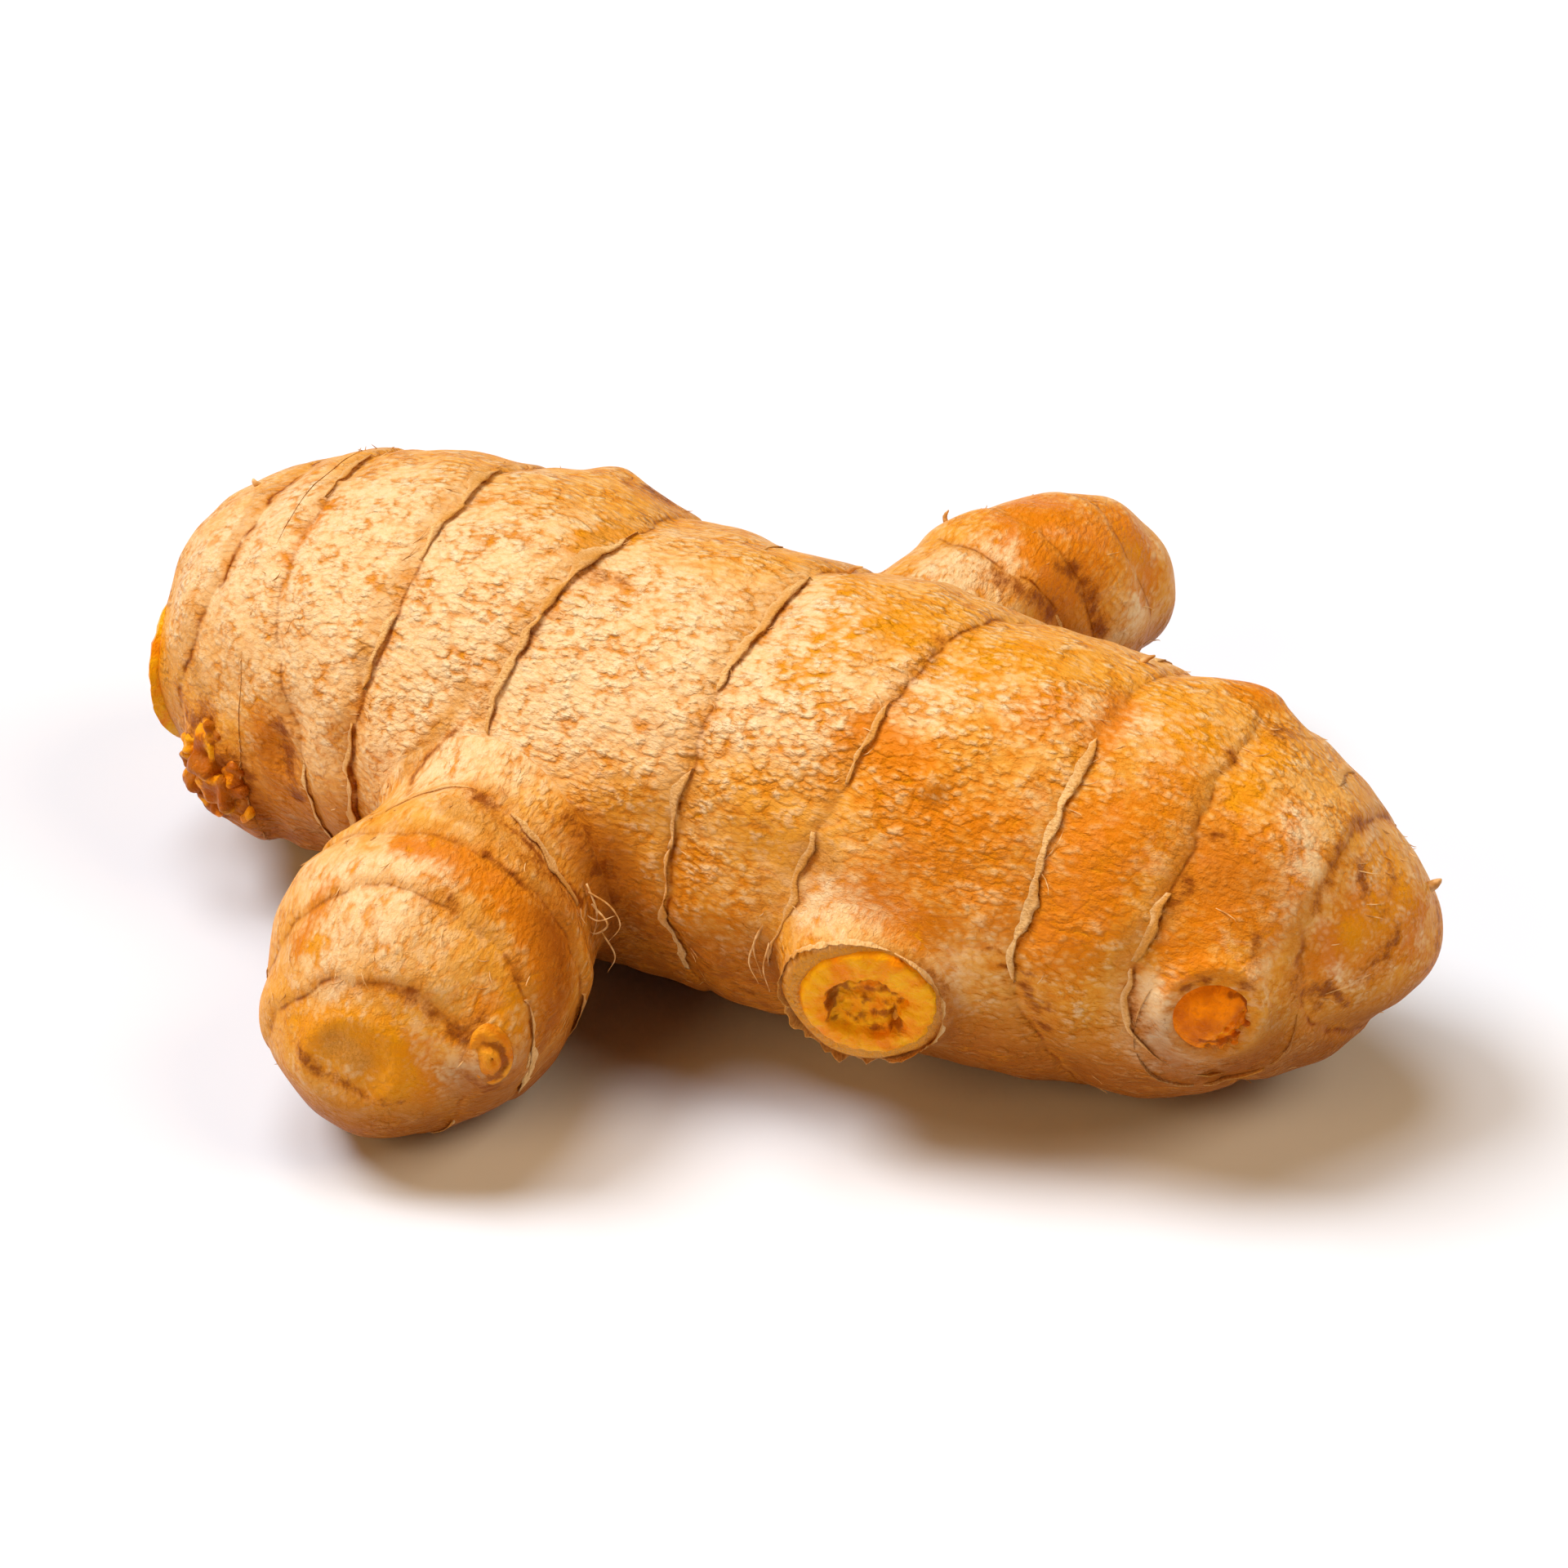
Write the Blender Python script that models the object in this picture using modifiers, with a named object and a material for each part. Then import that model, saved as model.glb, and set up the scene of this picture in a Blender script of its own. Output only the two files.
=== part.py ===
"""A fresh turmeric rhizome lying on its side, grown as one piece and modelled as one solid.

The stout body runs along X, from the broken end at -X to the growing tip at +X. One finger
reaches to the front (-Y) and down to the surface, and another reaches out at the back. Short
stubs, scars and buds stand between the leaf rings. Lengths are written in millimetres here,
and the object is built in metres.
"""

import bmesh
import bpy
import numpy as np
from mathutils import Vector, noise

MM = 0.001
ORIGIN = np.array((-0.5, 1.6, -0.25))  # the middle of the rhizome's underside, at the surface

# A spine is a chain of points (x, y, z, radius), from where a limb grows to where it ends.
BODY = [
    (-31.4, 2.2, 12.2, 11.5),
    (-26.0, 1.6, 12.7, 12.6),
    (-17.6, 0.6, 13.3, 13.2),
    (-5.0, -0.8, 13.3, 12.8),
    (6.0, -1.0, 13.2, 13.0),
    (16.0, -0.8, 12.6, 12.6),
    (24.0, 0.0, 11.9, 11.4),
    (29.0, 1.0, 11.4, 9.3),
    (33.0, 2.2, 11.0, 6.6),
    (35.4, 3.0, 10.9, 4.4),
]
FRONT_FINGER = [
    (-12.2, -9.0, 12.0, 7.2),
    (-12.3, -14.8, 10.7, 7.2),
    (-12.7, -20.4, 9.0, 8.7),
    (-13.4, -23.9, 7.2, 7.2),
]
BACK_FINGER = [
    (1.2, 9.0, 13.0, 5.0),
    (3.6, 21.0, 13.0, 5.7),
    (6.8, 27.6, 11.8, 5.9),
    (8.6, 29.6, 11.2, 4.8),
]
FRONT_STUB = [(10.0, -7.0, 12.0, 5.6), (11.0, -11.6, 11.0, 4.9), (11.8, -14.6, 10.4, 4.6)]
BACK_STUB = [(-16.6, 5.0, 16.2, 4.6), (-15.2, 9.4, 20.8, 3.5)]
END_KNOB = [(-30.0, -3.0, 9.4, 5.0), (-32.8, -6.2, 7.9, 3.7)]
SCAR_COLLAR = [(28.0, -4.0, 11.0, 4.6), (29.6, -6.8, 10.9, 3.8)]
BACK_BUD = [(25.6, 4.4, 18.4, 2.4), (26.8, 5.6, 20.6, 1.5)]
FINGER_BUD = [(-8.6, -25.4, 8.4, 2.2), (-6.9, -26.2, 8.5, 1.5)]

# A break is a point on the broken face and the way that the face looks.
END_BREAK = ((-40.3, 2.6, 11.8), (-1.0, 0.06, -0.05))
FRONT_BREAK = ((11.6, -15.2, 10.3), (0.30, -0.94, -0.16))
BACK_BREAK = ((-14.2, 10.8, 22.2), (0.50, 0.70, 0.50))

# A leaf ring is its place along its limb, read from the limb's first point, at eight angles
# round it: from straight below, in steps of 45 degrees, with the fifth value on top.
BODY_RINGS = [
    (-4.5, -5.5, -6.2, -4.0, -3.4, -3.6, -4.2, -4.6),
    (4.5, 6.0, 5.0, 1.4, 1.1, 1.6, 2.4, 3.4),
    (10.4, 9.8, 8.6, 9.8, 10.3, 11.0, 10.6, 10.8),
    (17.5, 15.5, 14.4, 17.9, 20.6, 21.0, 20.0, 18.8),
    (31.4, 31.2, 30.4, 30.8, 32.0, 33.8, 33.0, 32.2),
    (38.8, 37.0, 37.3, 40.2, 42.0, 45.0, 43.6, 41.2),
    (54.2, 53.9, 51.6, 51.9, 52.5, 53.6, 53.4, 53.8),
    (61.5, 62.4, 57.6, 59.1, 59.2, 59.6, 60.4, 61.0),
    (68.2, 67.8, 66.3, 65.8, 66.2, 66.6, 67.2, 68.0),
]
FRONT_RINGS = [
    (7.0, 8.2, 9.0, 8.6, 5.0, 5.8, 7.6, 7.2),
    (10.4, 11.2, 11.4, 10.2, 9.1, 8.7, 9.4, 10.0),
    (16.4, 17.0, 17.4, 16.6, 13.4, 13.1, 15.2, 16.0),
    (20.4, 20.8, 20.8, 20.4, 18.6, 17.6, 18.8, 19.8),
]
BACK_RINGS = [
    (13.0, 13.6, 13.8, 11.4, 10.0, 10.4, 11.2, 12.2),
    (15.6, 16.0, 15.7, 15.1, 14.6, 14.8, 15.2, 15.4),
    (21.0, 21.2, 21.2, 20.0, 20.7, 20.4, 20.6, 20.8),
]

# A mark is a round hollow or swelling: its place, its radius, how far it is raised (or sunk,
# if negative) and the height of the rim round it.
MARKS = [
    ((11.7, -15.4, 10.4), 2.4, -0.7, 0.2),
    ((30.6, -10.7, 12.0), 1.9, -0.5, 0.5),
    ((-28.0, -10.8, 12.9), 1.5, -0.6, 0.0),
    ((13.6, -9.4, 21.8), 0.9, 0.5, 0.0),
    ((-40.3, 2.6, 11.8), 4.6, -0.6, 0.3),
    ((-12.4, -30.6, 8.6), 2.2, -0.3, 0.3),
]

LIP = 0.42  # height of a leaf base where it ends at its ring
LEAF_BASE = 1.7  # how far back from the ring that height fades
CREASE = 0.34  # depth of the skin just past the ring
CREASE_WIDTH = 1.1
STEP = 0.28  # how sharply the leaf base drops at its ring
RAGGED = 0.45  # how far the ring strays from its smooth course
SWELL = 0.45  # how far the skin bulges halfway between two rings
LUMPS = [(6.5, 0.55), (2.6, 0.22)]  # size and height of the skin's uneven lumps
KNOB_LUMPS = (1.9, 1.1)  # the same, for the torn knob by the broken end

BLEND = 1.1  # how widely one limb flows into the next
BREAK_EDGE = 0.25  # how softly a broken face meets the skin
BALL_SPACING = 1.0
VOXEL = 0.66
TRIANGLES = 9800
SKIN_COLOUR = (0.72, 0.38, 0.12, 1.0)
SKIN_ROUGHNESS = 0.6


def curve(a, b, c, d, t):
    """A smooth curve from b to c, for t from 0 to 1."""
    cubic = 3 * b - a - 3 * c + d
    return 0.5 * (2 * b + (c - a) * t + (2 * a - 5 * b + 4 * c - d) * t**2 + cubic * t**3)


def through(spine):
    """Points about BALL_SPACING apart on a smooth curve through the spine."""
    points = np.array(spine)
    first = 2 * points[0] - points[1]
    last = 2 * points[-1] - points[-2]
    points = np.vstack([first, points, last])
    line = []
    for a, b, c, d in zip(points, points[1:], points[2:], points[3:]):
        count = max(2, round(np.linalg.norm((c - b)[:3]) / BALL_SPACING))
        line += [curve(a, b, c, d, t) for t in np.arange(count) / count]
    return np.array(line + [points[-2]])


def unit(vectors):
    return vectors / np.linalg.norm(vectors, axis=-1, keepdims=True)


class Limb:
    """A ball swept along a spine, with its leaf rings and, if it was broken off, its break."""

    def __init__(self, spine, rings=(), broken=None):
        line = through(spine)
        self.centres = line[:, :3]
        self.radii = line[:, 3]
        self.rings = np.array(rings)
        self.broken = broken
        self.ahead = unit(self.centres[-1] - self.centres[0])
        self.side = unit(np.cross((0, 0, 1), self.ahead))
        self.up = np.cross(self.ahead, self.side)

    def locate(self, points):
        """How far each point is outside the limb, and which way is out."""
        squares = (points**2).sum(1)[:, None] + (self.centres**2).sum(1)
        reach = np.sqrt(np.maximum(squares - 2 * points @ self.centres.T, 0)) - self.radii
        last = len(self.centres) - 1
        nearest = np.clip(reach.argmin(1), 1, last - 1)
        row = np.arange(len(points))
        before, here, after = (reach[row, nearest + k] for k in (-1, 0, 1))
        bend = np.maximum(before - 2 * here + after, 1e-6)
        place = nearest + np.clip(0.5 * (before - after) / bend, -1, 1)
        balls = np.arange(last + 1)
        centres = np.stack([np.interp(place, balls, c) for c in self.centres.T], 1)
        out = points - centres
        outside = np.linalg.norm(out, axis=1) - np.interp(place, balls, self.radii)
        out = unit(out)
        if self.broken:
            face = np.array(self.broken[0])
            looks = unit(np.array(self.broken[1]))
            beyond = (points - face) @ looks
            share = 1 / (1 + np.exp(np.clip((outside - beyond) / BREAK_EDGE, -50, 50)))
            rounding = -BREAK_EDGE * np.log(np.maximum(share, 1 - share))
            outside = np.maximum(outside, beyond) + rounding
            out = unit(share[:, None] * looks + (1 - share)[:, None] * out)
        return outside, out

    def relief(self, points, out):
        """Height of the leaf bases and of the bulging skin between the rings."""
        if not len(self.rings):
            return np.zeros(len(points))
        turns = np.arctan2(-out @ self.side, -out @ self.up) / (2 * np.pi) * 8 % 8
        step = turns.astype(int)
        values = [self.rings[:, (step + k) % 8] for k in (-1, 0, 1, 2)]
        course = curve(*values, turns - step)
        course += RAGGED * grain(points, 2.4, 7.0) + RAGGED / 2 * grain(points, 1.1, 3.0)
        past = (points - self.centres[0]) @ self.ahead - course
        leaf_base = LIP * np.exp(np.minimum(past, 0) / LEAF_BASE)
        crease = -CREASE * np.exp(-np.maximum(past, 0) / CREASE_WIDTH)
        drop = 1 / (1 + np.exp(np.clip(-past / STEP, -50, 50)))
        strength = 1 + 0.6 * grain(points, 9.0, 1.0)
        height = strength * (leaf_base * (1 - drop) + crease * drop).sum(0)
        behind = np.where(past >= 0, past, np.inf).min(0)
        ahead = np.where(past < 0, -past, np.inf).min(0)
        between = np.isfinite(behind) & np.isfinite(ahead)
        share = np.where(between, behind, 0) / np.where(between, behind + ahead, 1)
        return height + SWELL * np.where(between, np.sin(np.pi * share) ** 0.7, 0)


def grain(points, size, seed):
    """Smooth unevenness from about -1 to 1, with lumps of the given size."""
    return np.array([noise.noise(Vector(p) / size + Vector((seed, seed, seed))) for p in points])


LIMBS = [
    Limb(BODY, BODY_RINGS, END_BREAK),
    Limb(FRONT_FINGER, FRONT_RINGS),
    Limb(BACK_FINGER, BACK_RINGS),
    Limb(FRONT_STUB, broken=FRONT_BREAK),
    Limb(BACK_STUB, broken=BACK_BREAK),
    Limb(END_KNOB),
    Limb(SCAR_COLLAR),
    Limb(BACK_BUD),
    Limb(FINGER_BUD),
]
KNOB = 5


def settle(points, rounds=4):
    """Moves points onto the skin of all the limbs flowing into each other.

    It returns the points, the way out at each, and each limb's share in it there.
    """
    for _ in range(rounds):
        found = [limb.locate(points) for limb in LIMBS]
        outside = np.stack([f[0] for f in found])
        nearest = outside.min(0)
        shares = np.exp((nearest - outside) / BLEND)
        total = shares.sum(0)
        shares /= total
        out = unit(sum(share[:, None] * f[1] for share, f in zip(shares, found)))
        points = points - (nearest - BLEND * np.log(total))[:, None] * out
    return points, out, shares


def mark(points, place, radius, height, rim):
    """Height of a round mark: flat in the middle, with a rim round it."""
    away = np.linalg.norm(points - np.array(place), axis=1) / radius
    return height * np.exp(-away**4) + rim * np.exp(-(((away - 1.25) / 0.3) ** 2))


def raise_relief(points, out, shares):
    """Lifts the skin to its rings, swellings, marks and lumps."""
    height = sum(share * limb.relief(points, out) for share, limb in zip(shares, LIMBS))
    for place, radius, depth, rim in MARKS:
        height += mark(points, place, radius, depth, rim)
    for seed, (size, lump) in enumerate(LUMPS):
        height += lump * grain(points, size, 11.0 + seed)
    size, lump = KNOB_LUMPS
    height += lump * shares[KNOB] * grain(points, size, 5.0)
    return points + height[:, None] * out


def balls():
    """A mesh of every ball of every limb, overlapping like beads."""
    shape = bmesh.new()
    for limb in LIMBS:
        for centre, radius in zip(limb.centres, limb.radii):
            ball = bmesh.ops.create_icosphere(shape, subdivisions=3, radius=radius * MM)
            bmesh.ops.translate(shape, verts=ball["verts"], vec=Vector(centre) * MM)
    mesh = bpy.data.meshes.new("rhizome")
    shape.to_mesh(mesh)
    shape.free()
    return mesh


def apply_modifiers(obj):
    """Replaces an object's mesh by what its modifiers make of it."""
    graph = bpy.context.evaluated_depsgraph_get()
    mesh = bpy.data.meshes.new_from_object(obj.evaluated_get(graph))
    obj.modifiers.clear()
    obj.data = mesh


def fuse(obj):
    """Fuses an object's overlapping balls into one closed skin."""
    remesh = obj.modifiers.new("fuse", "REMESH")
    remesh.mode = "VOXEL"
    remesh.voxel_size = VOXEL * MM
    apply_modifiers(obj)


def thin_out(obj):
    """Leaves only as many triangles as the relief needs."""
    triangles = sum(len(face.vertices) - 2 for face in obj.data.polygons)
    thin = obj.modifiers.new("thin", "DECIMATE")
    thin.ratio = TRIANGLES / triangles
    apply_modifiers(obj)


def corners(mesh):
    """The mesh's corners in millimetres."""
    points = np.empty(len(mesh.vertices) * 3)
    mesh.vertices.foreach_get("co", points)
    return points.reshape(-1, 3) / MM


def move_corners(mesh, points):
    mesh.vertices.foreach_set("co", (points * MM).ravel())
    mesh.update()


def set_down(points):
    """Rests the shape on the surface, with whatever reaches below it pressed flat."""
    points = points - ORIGIN
    points[:, 2] = np.maximum(points[:, 2], 0)
    return points


def skin_material():
    material = bpy.data.materials.new("turmeric_skin")
    material.use_nodes = True
    shader = material.node_tree.nodes["Principled BSDF"]
    shader.inputs["Base Color"].default_value = SKIN_COLOUR
    shader.inputs["Roughness"].default_value = SKIN_ROUGHNESS
    shader.inputs["Metallic"].default_value = 0.0
    return material


def main():
    for obj in list(bpy.data.objects):
        bpy.data.objects.remove(obj)
    collection = bpy.data.collections.new("turmeric_root")
    bpy.context.scene.collection.children.link(collection)
    rhizome = bpy.data.objects.new("rhizome", balls())
    collection.objects.link(rhizome)
    fuse(rhizome)
    move_corners(rhizome.data, raise_relief(*settle(corners(rhizome.data))))
    thin_out(rhizome)
    move_corners(rhizome.data, set_down(corners(rhizome.data)))
    rhizome.data.shade_smooth()
    rhizome.data.materials.append(skin_material())


main()
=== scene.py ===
"""The looks of a fresh turmeric rhizome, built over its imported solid.

Lengths are in millimetres in the rhizome's own grid, in which part.py describes its limbs. The
solid's frame is that grid moved by ORIGIN, in metres.
"""

import math

import bmesh
import bpy
import numpy as np
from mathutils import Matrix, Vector, noise


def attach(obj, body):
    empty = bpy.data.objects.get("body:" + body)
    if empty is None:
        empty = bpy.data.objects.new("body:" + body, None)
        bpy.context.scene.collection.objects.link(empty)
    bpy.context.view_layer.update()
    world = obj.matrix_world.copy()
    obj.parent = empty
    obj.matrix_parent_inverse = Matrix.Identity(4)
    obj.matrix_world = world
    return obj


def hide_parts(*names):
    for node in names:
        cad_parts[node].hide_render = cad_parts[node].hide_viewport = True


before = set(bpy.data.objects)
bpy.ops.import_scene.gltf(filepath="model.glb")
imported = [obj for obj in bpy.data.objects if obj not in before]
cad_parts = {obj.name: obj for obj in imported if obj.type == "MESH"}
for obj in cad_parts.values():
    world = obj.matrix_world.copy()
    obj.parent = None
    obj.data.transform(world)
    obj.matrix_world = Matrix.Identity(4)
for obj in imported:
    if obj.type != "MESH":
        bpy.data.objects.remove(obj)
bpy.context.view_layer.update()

MM = 0.001
ORIGIN = np.array((-0.5, 1.6, -0.25))  # the middle of the rhizome's underside, at the surface

# A spine is a chain of points (x, y, z, radius), from where a limb grows to where it ends.
BODY = [
    (-31.4, 2.2, 12.2, 11.5),
    (-26.0, 1.6, 12.7, 12.6),
    (-17.6, 0.6, 13.3, 13.2),
    (-5.0, -0.8, 13.3, 12.8),
    (6.0, -1.0, 13.2, 13.0),
    (16.0, -0.8, 12.6, 12.6),
    (24.0, 0.0, 11.9, 11.4),
    (29.0, 1.0, 11.4, 9.3),
    (33.0, 2.2, 11.0, 6.6),
    (35.4, 3.0, 10.9, 4.4),
]
FRONT_FINGER = [
    (-12.2, -9.0, 12.0, 7.2),
    (-12.3, -14.8, 10.7, 7.2),
    (-12.7, -20.4, 9.0, 8.7),
    (-13.4, -23.9, 7.2, 7.2),
]
BACK_FINGER = [
    (1.2, 9.0, 13.0, 5.0),
    (3.6, 21.0, 13.0, 5.7),
    (6.8, 27.6, 11.8, 5.9),
    (8.6, 29.6, 11.2, 4.8),
]
FRONT_STUB = [(10.0, -7.0, 12.0, 5.6), (11.0, -11.6, 11.0, 4.9), (11.8, -14.6, 10.4, 4.6)]
BACK_STUB = [(-16.6, 5.0, 16.2, 4.6), (-15.2, 9.4, 20.8, 3.5)]
END_KNOB = [(-30.0, -3.0, 9.4, 5.0), (-32.8, -6.2, 7.9, 3.7)]
SCAR_COLLAR = [(28.0, -4.0, 11.0, 4.6), (29.6, -6.8, 10.9, 3.8)]
BACK_BUD = [(25.6, 4.4, 18.4, 2.4), (26.8, 5.6, 20.6, 1.5)]
FINGER_BUD = [(-8.6, -25.4, 8.4, 2.2), (-6.9, -26.2, 8.5, 1.5)]

# A break is a point on the broken face and the way that the face looks.
END_BREAK = ((-40.3, 2.6, 11.8), (-1.0, 0.06, -0.05))
FRONT_BREAK = ((11.6, -15.2, 10.3), (0.30, -0.94, -0.16))
BACK_BREAK = ((-14.2, 10.8, 22.2), (0.50, 0.70, 0.50))

# A leaf ring is its place along its limb, read from the limb's first point, at eight angles
# round it: from straight below, in steps of 45 degrees, with the fifth value on top.
BODY_RINGS = [
    (-4.5, -5.5, -6.2, -4.0, -3.4, -3.6, -4.2, -4.6),
    (4.5, 6.0, 5.0, 1.4, 1.1, 1.6, 2.4, 3.4),
    (10.4, 9.8, 8.6, 9.8, 10.3, 11.0, 10.6, 10.8),
    (17.5, 15.5, 14.4, 17.9, 20.6, 21.0, 20.0, 18.8),
    (31.4, 31.2, 30.4, 30.8, 32.0, 33.8, 33.0, 32.2),
    (38.8, 37.0, 37.3, 40.2, 42.0, 45.0, 43.6, 41.2),
    (54.2, 53.9, 51.6, 51.9, 52.5, 53.6, 53.4, 53.8),
    (61.5, 62.4, 57.6, 59.1, 59.2, 59.6, 60.4, 61.0),
    (68.2, 67.8, 66.3, 65.8, 66.2, 66.6, 67.2, 68.0),
]
FRONT_RINGS = [
    (7.0, 8.2, 9.0, 8.6, 5.0, 5.8, 7.6, 7.2),
    (10.4, 11.2, 11.4, 10.2, 9.1, 8.7, 9.4, 10.0),
    (16.4, 17.0, 17.4, 16.6, 13.4, 13.1, 15.2, 16.0),
    (20.4, 20.8, 20.8, 20.4, 18.6, 17.6, 18.8, 19.8),
]
BACK_RINGS = [
    (13.0, 13.6, 13.8, 11.4, 10.0, 10.4, 11.2, 12.2),
    (15.6, 16.0, 15.7, 15.1, 14.6, 14.8, 15.2, 15.4),
    (21.0, 21.2, 21.2, 20.0, 20.7, 20.4, 20.6, 20.8),
]

# How dark the line past each ring is, and how wide its papery edge is, in tenths, at the same
# eight angles.
BODY_DARK = [
    (7, 8, 9, 10, 10, 9, 6, 6),
    (8, 9, 7, 3, 4, 3, 4, 5),
    (9, 10, 10, 7, 6, 6, 6, 6),
    (6, 9, 8, 7, 6, 5, 5, 5),
    (6, 9, 9, 5, 8, 6, 6, 6),
    (6, 7, 6, 5, 7, 8, 6, 6),
    (8, 9, 7, 3, 3, 6, 6, 6),
    (7, 8, 7, 8, 3, 4, 6, 6),
    (8, 9, 8, 7, 8, 7, 7, 7),
]
BODY_PAPER = [
    (10, 15, 24, 10, 16, 10, 10, 10),
    (8, 10, 7, 3, 9, 10, 10, 10),
    (10, 10, 10, 19, 15, 10, 10, 10),
    (10, 10, 12, 13, 18, 14, 10, 10),
    (10, 10, 12, 10, 22, 14, 10, 10),
    (10, 12, 18, 7, 9, 10, 10, 10),
    (10, 8, 7, 6, 4, 8, 10, 10),
    (10, 12, 12, 12, 6, 8, 10, 10),
    (8, 10, 10, 8, 6, 8, 10, 10),
]
FRONT_DARK = [
    (5, 4, 3, 3, 3, 3.5, 7, 7),
    (4, 3, 3, 3, 4, 6, 8, 6),
    (4, 3, 4, 5, 4, 6, 9, 6),
    (4, 4, 5, 7, 8, 7, 6, 5),
]
FRONT_PAPER = [
    (8, 8, 6, 6, 8, 8, 8, 8),
    (6, 4, 4, 4, 12, 20, 20, 12),
    (3, 3, 3, 4, 8, 10, 8, 4),
    (5, 5, 9, 9, 6, 10, 7, 5),
]
BACK_DARK = [
    (7, 8, 10, 10, 6, 5, 5, 5),
    (6, 7, 9, 6, 4, 3, 3, 4),
    (5, 5, 6, 5, 5, 4, 4, 4),
]
BACK_PAPER = [
    (6, 8, 10, 10, 6, 5, 5, 5),
    (5, 6, 6, 5, 4, 4, 4, 5),
    (5, 5, 6, 5, 5, 4, 4, 4),
]

# A mark is a round hollow or swelling: its place, its radius, how far it is raised (or sunk,
# if negative) and the height of the rim round it.
MARKS = [
    ((11.9, -15.6, 10.4), 2.9, -1.1, 0.2),
    ((31.1, -10.6, 12.4), 2.1, -0.7, 0.5),
    ((-28.0, -10.8, 12.9), 1.5, -0.6, 0.0),
    ((13.6, -9.4, 21.8), 0.9, 0.5, 0.0),
    ((-40.3, 2.6, 11.8), 4.6, -0.6, 0.3),
    ((-12.4, -30.6, 8.6), 2.2, -0.3, 0.3),
]

LIP = 0.17  # height of a leaf base where it ends at its ring
LEAF_BASE = 1.7  # how far back from the ring that height fades
CREASE = 0.11  # depth of the skin just past the ring
CREASE_WIDTH = 0.6
STEP = 0.10  # how sharply the leaf base drops at its ring
RAGGED = 0.45  # how far the ring strays from its smooth course
SWELL = 0.45  # how far the skin bulges halfway between two rings
LUMPS = [(6.5, 0.55), (2.6, 0.22)]  # size and height of the skin's uneven lumps
KNOB_LUMPS = (1.9, 1.1)  # the same, for the torn knob by the broken end

GRAIN_LENGTH = 1.7  # how many times longer than wide the skin's wrinkles are
BLEND = 1.1  # how widely one limb flows into the next
BREAK_EDGE = 0.2  # how softly a broken face meets the skin
BALL_SPACING = 1.0
SKIN_VOXEL = 0.31


def curve(a, b, c, d, t):
    """A smooth curve from b to c, for t from 0 to 1."""
    cubic = 3 * b - a - 3 * c + d
    return 0.5 * (2 * b + (c - a) * t + (2 * a - 5 * b + 4 * c - d) * t**2 + cubic * t**3)


def through(spine, steps=None):
    """Points on a smooth curve through the spine, BALL_SPACING apart or in even steps."""
    points = np.array(spine)
    points = np.vstack([2 * points[0] - points[1], points, 2 * points[-1] - points[-2]])
    line = []
    for a, b, c, d in zip(points, points[1:], points[2:], points[3:]):
        count = steps or max(2, round(np.linalg.norm((c - b)[:3]) / BALL_SPACING))
        line += [curve(a, b, c, d, t) for t in np.arange(count) / count]
    return np.array(line + [points[-2]])


def unit(vectors):
    return vectors / np.linalg.norm(vectors, axis=-1, keepdims=True)


def axes(looks):
    """The way that something looks, as a unit, and the ways across and up from it."""
    looks = unit(np.array(looks, float))
    across = unit(np.cross((0, 0, 1), looks))
    return looks, across, np.cross(looks, across)


def grain(points, size, seed):
    """Smooth unevenness from about -1 to 1, with lumps of the given size."""
    return np.array([noise.noise(Vector(p) / size + Vector((seed, seed, seed))) for p in points])


def smooth(values, low, high):
    """0 below low, 1 above high, and a smooth rise between them."""
    share = np.clip((values - low) / (high - low), 0, 1)
    return share * share * (3 - 2 * share)


def round_limb(table, turns):
    """Each row of a table of values at eight angles, read at every turn."""
    step = turns.astype(int) % 8
    values = [table[:, (step + k) % 8] for k in (-1, 0, 1, 2)]
    return curve(*values, turns - turns.astype(int))


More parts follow.
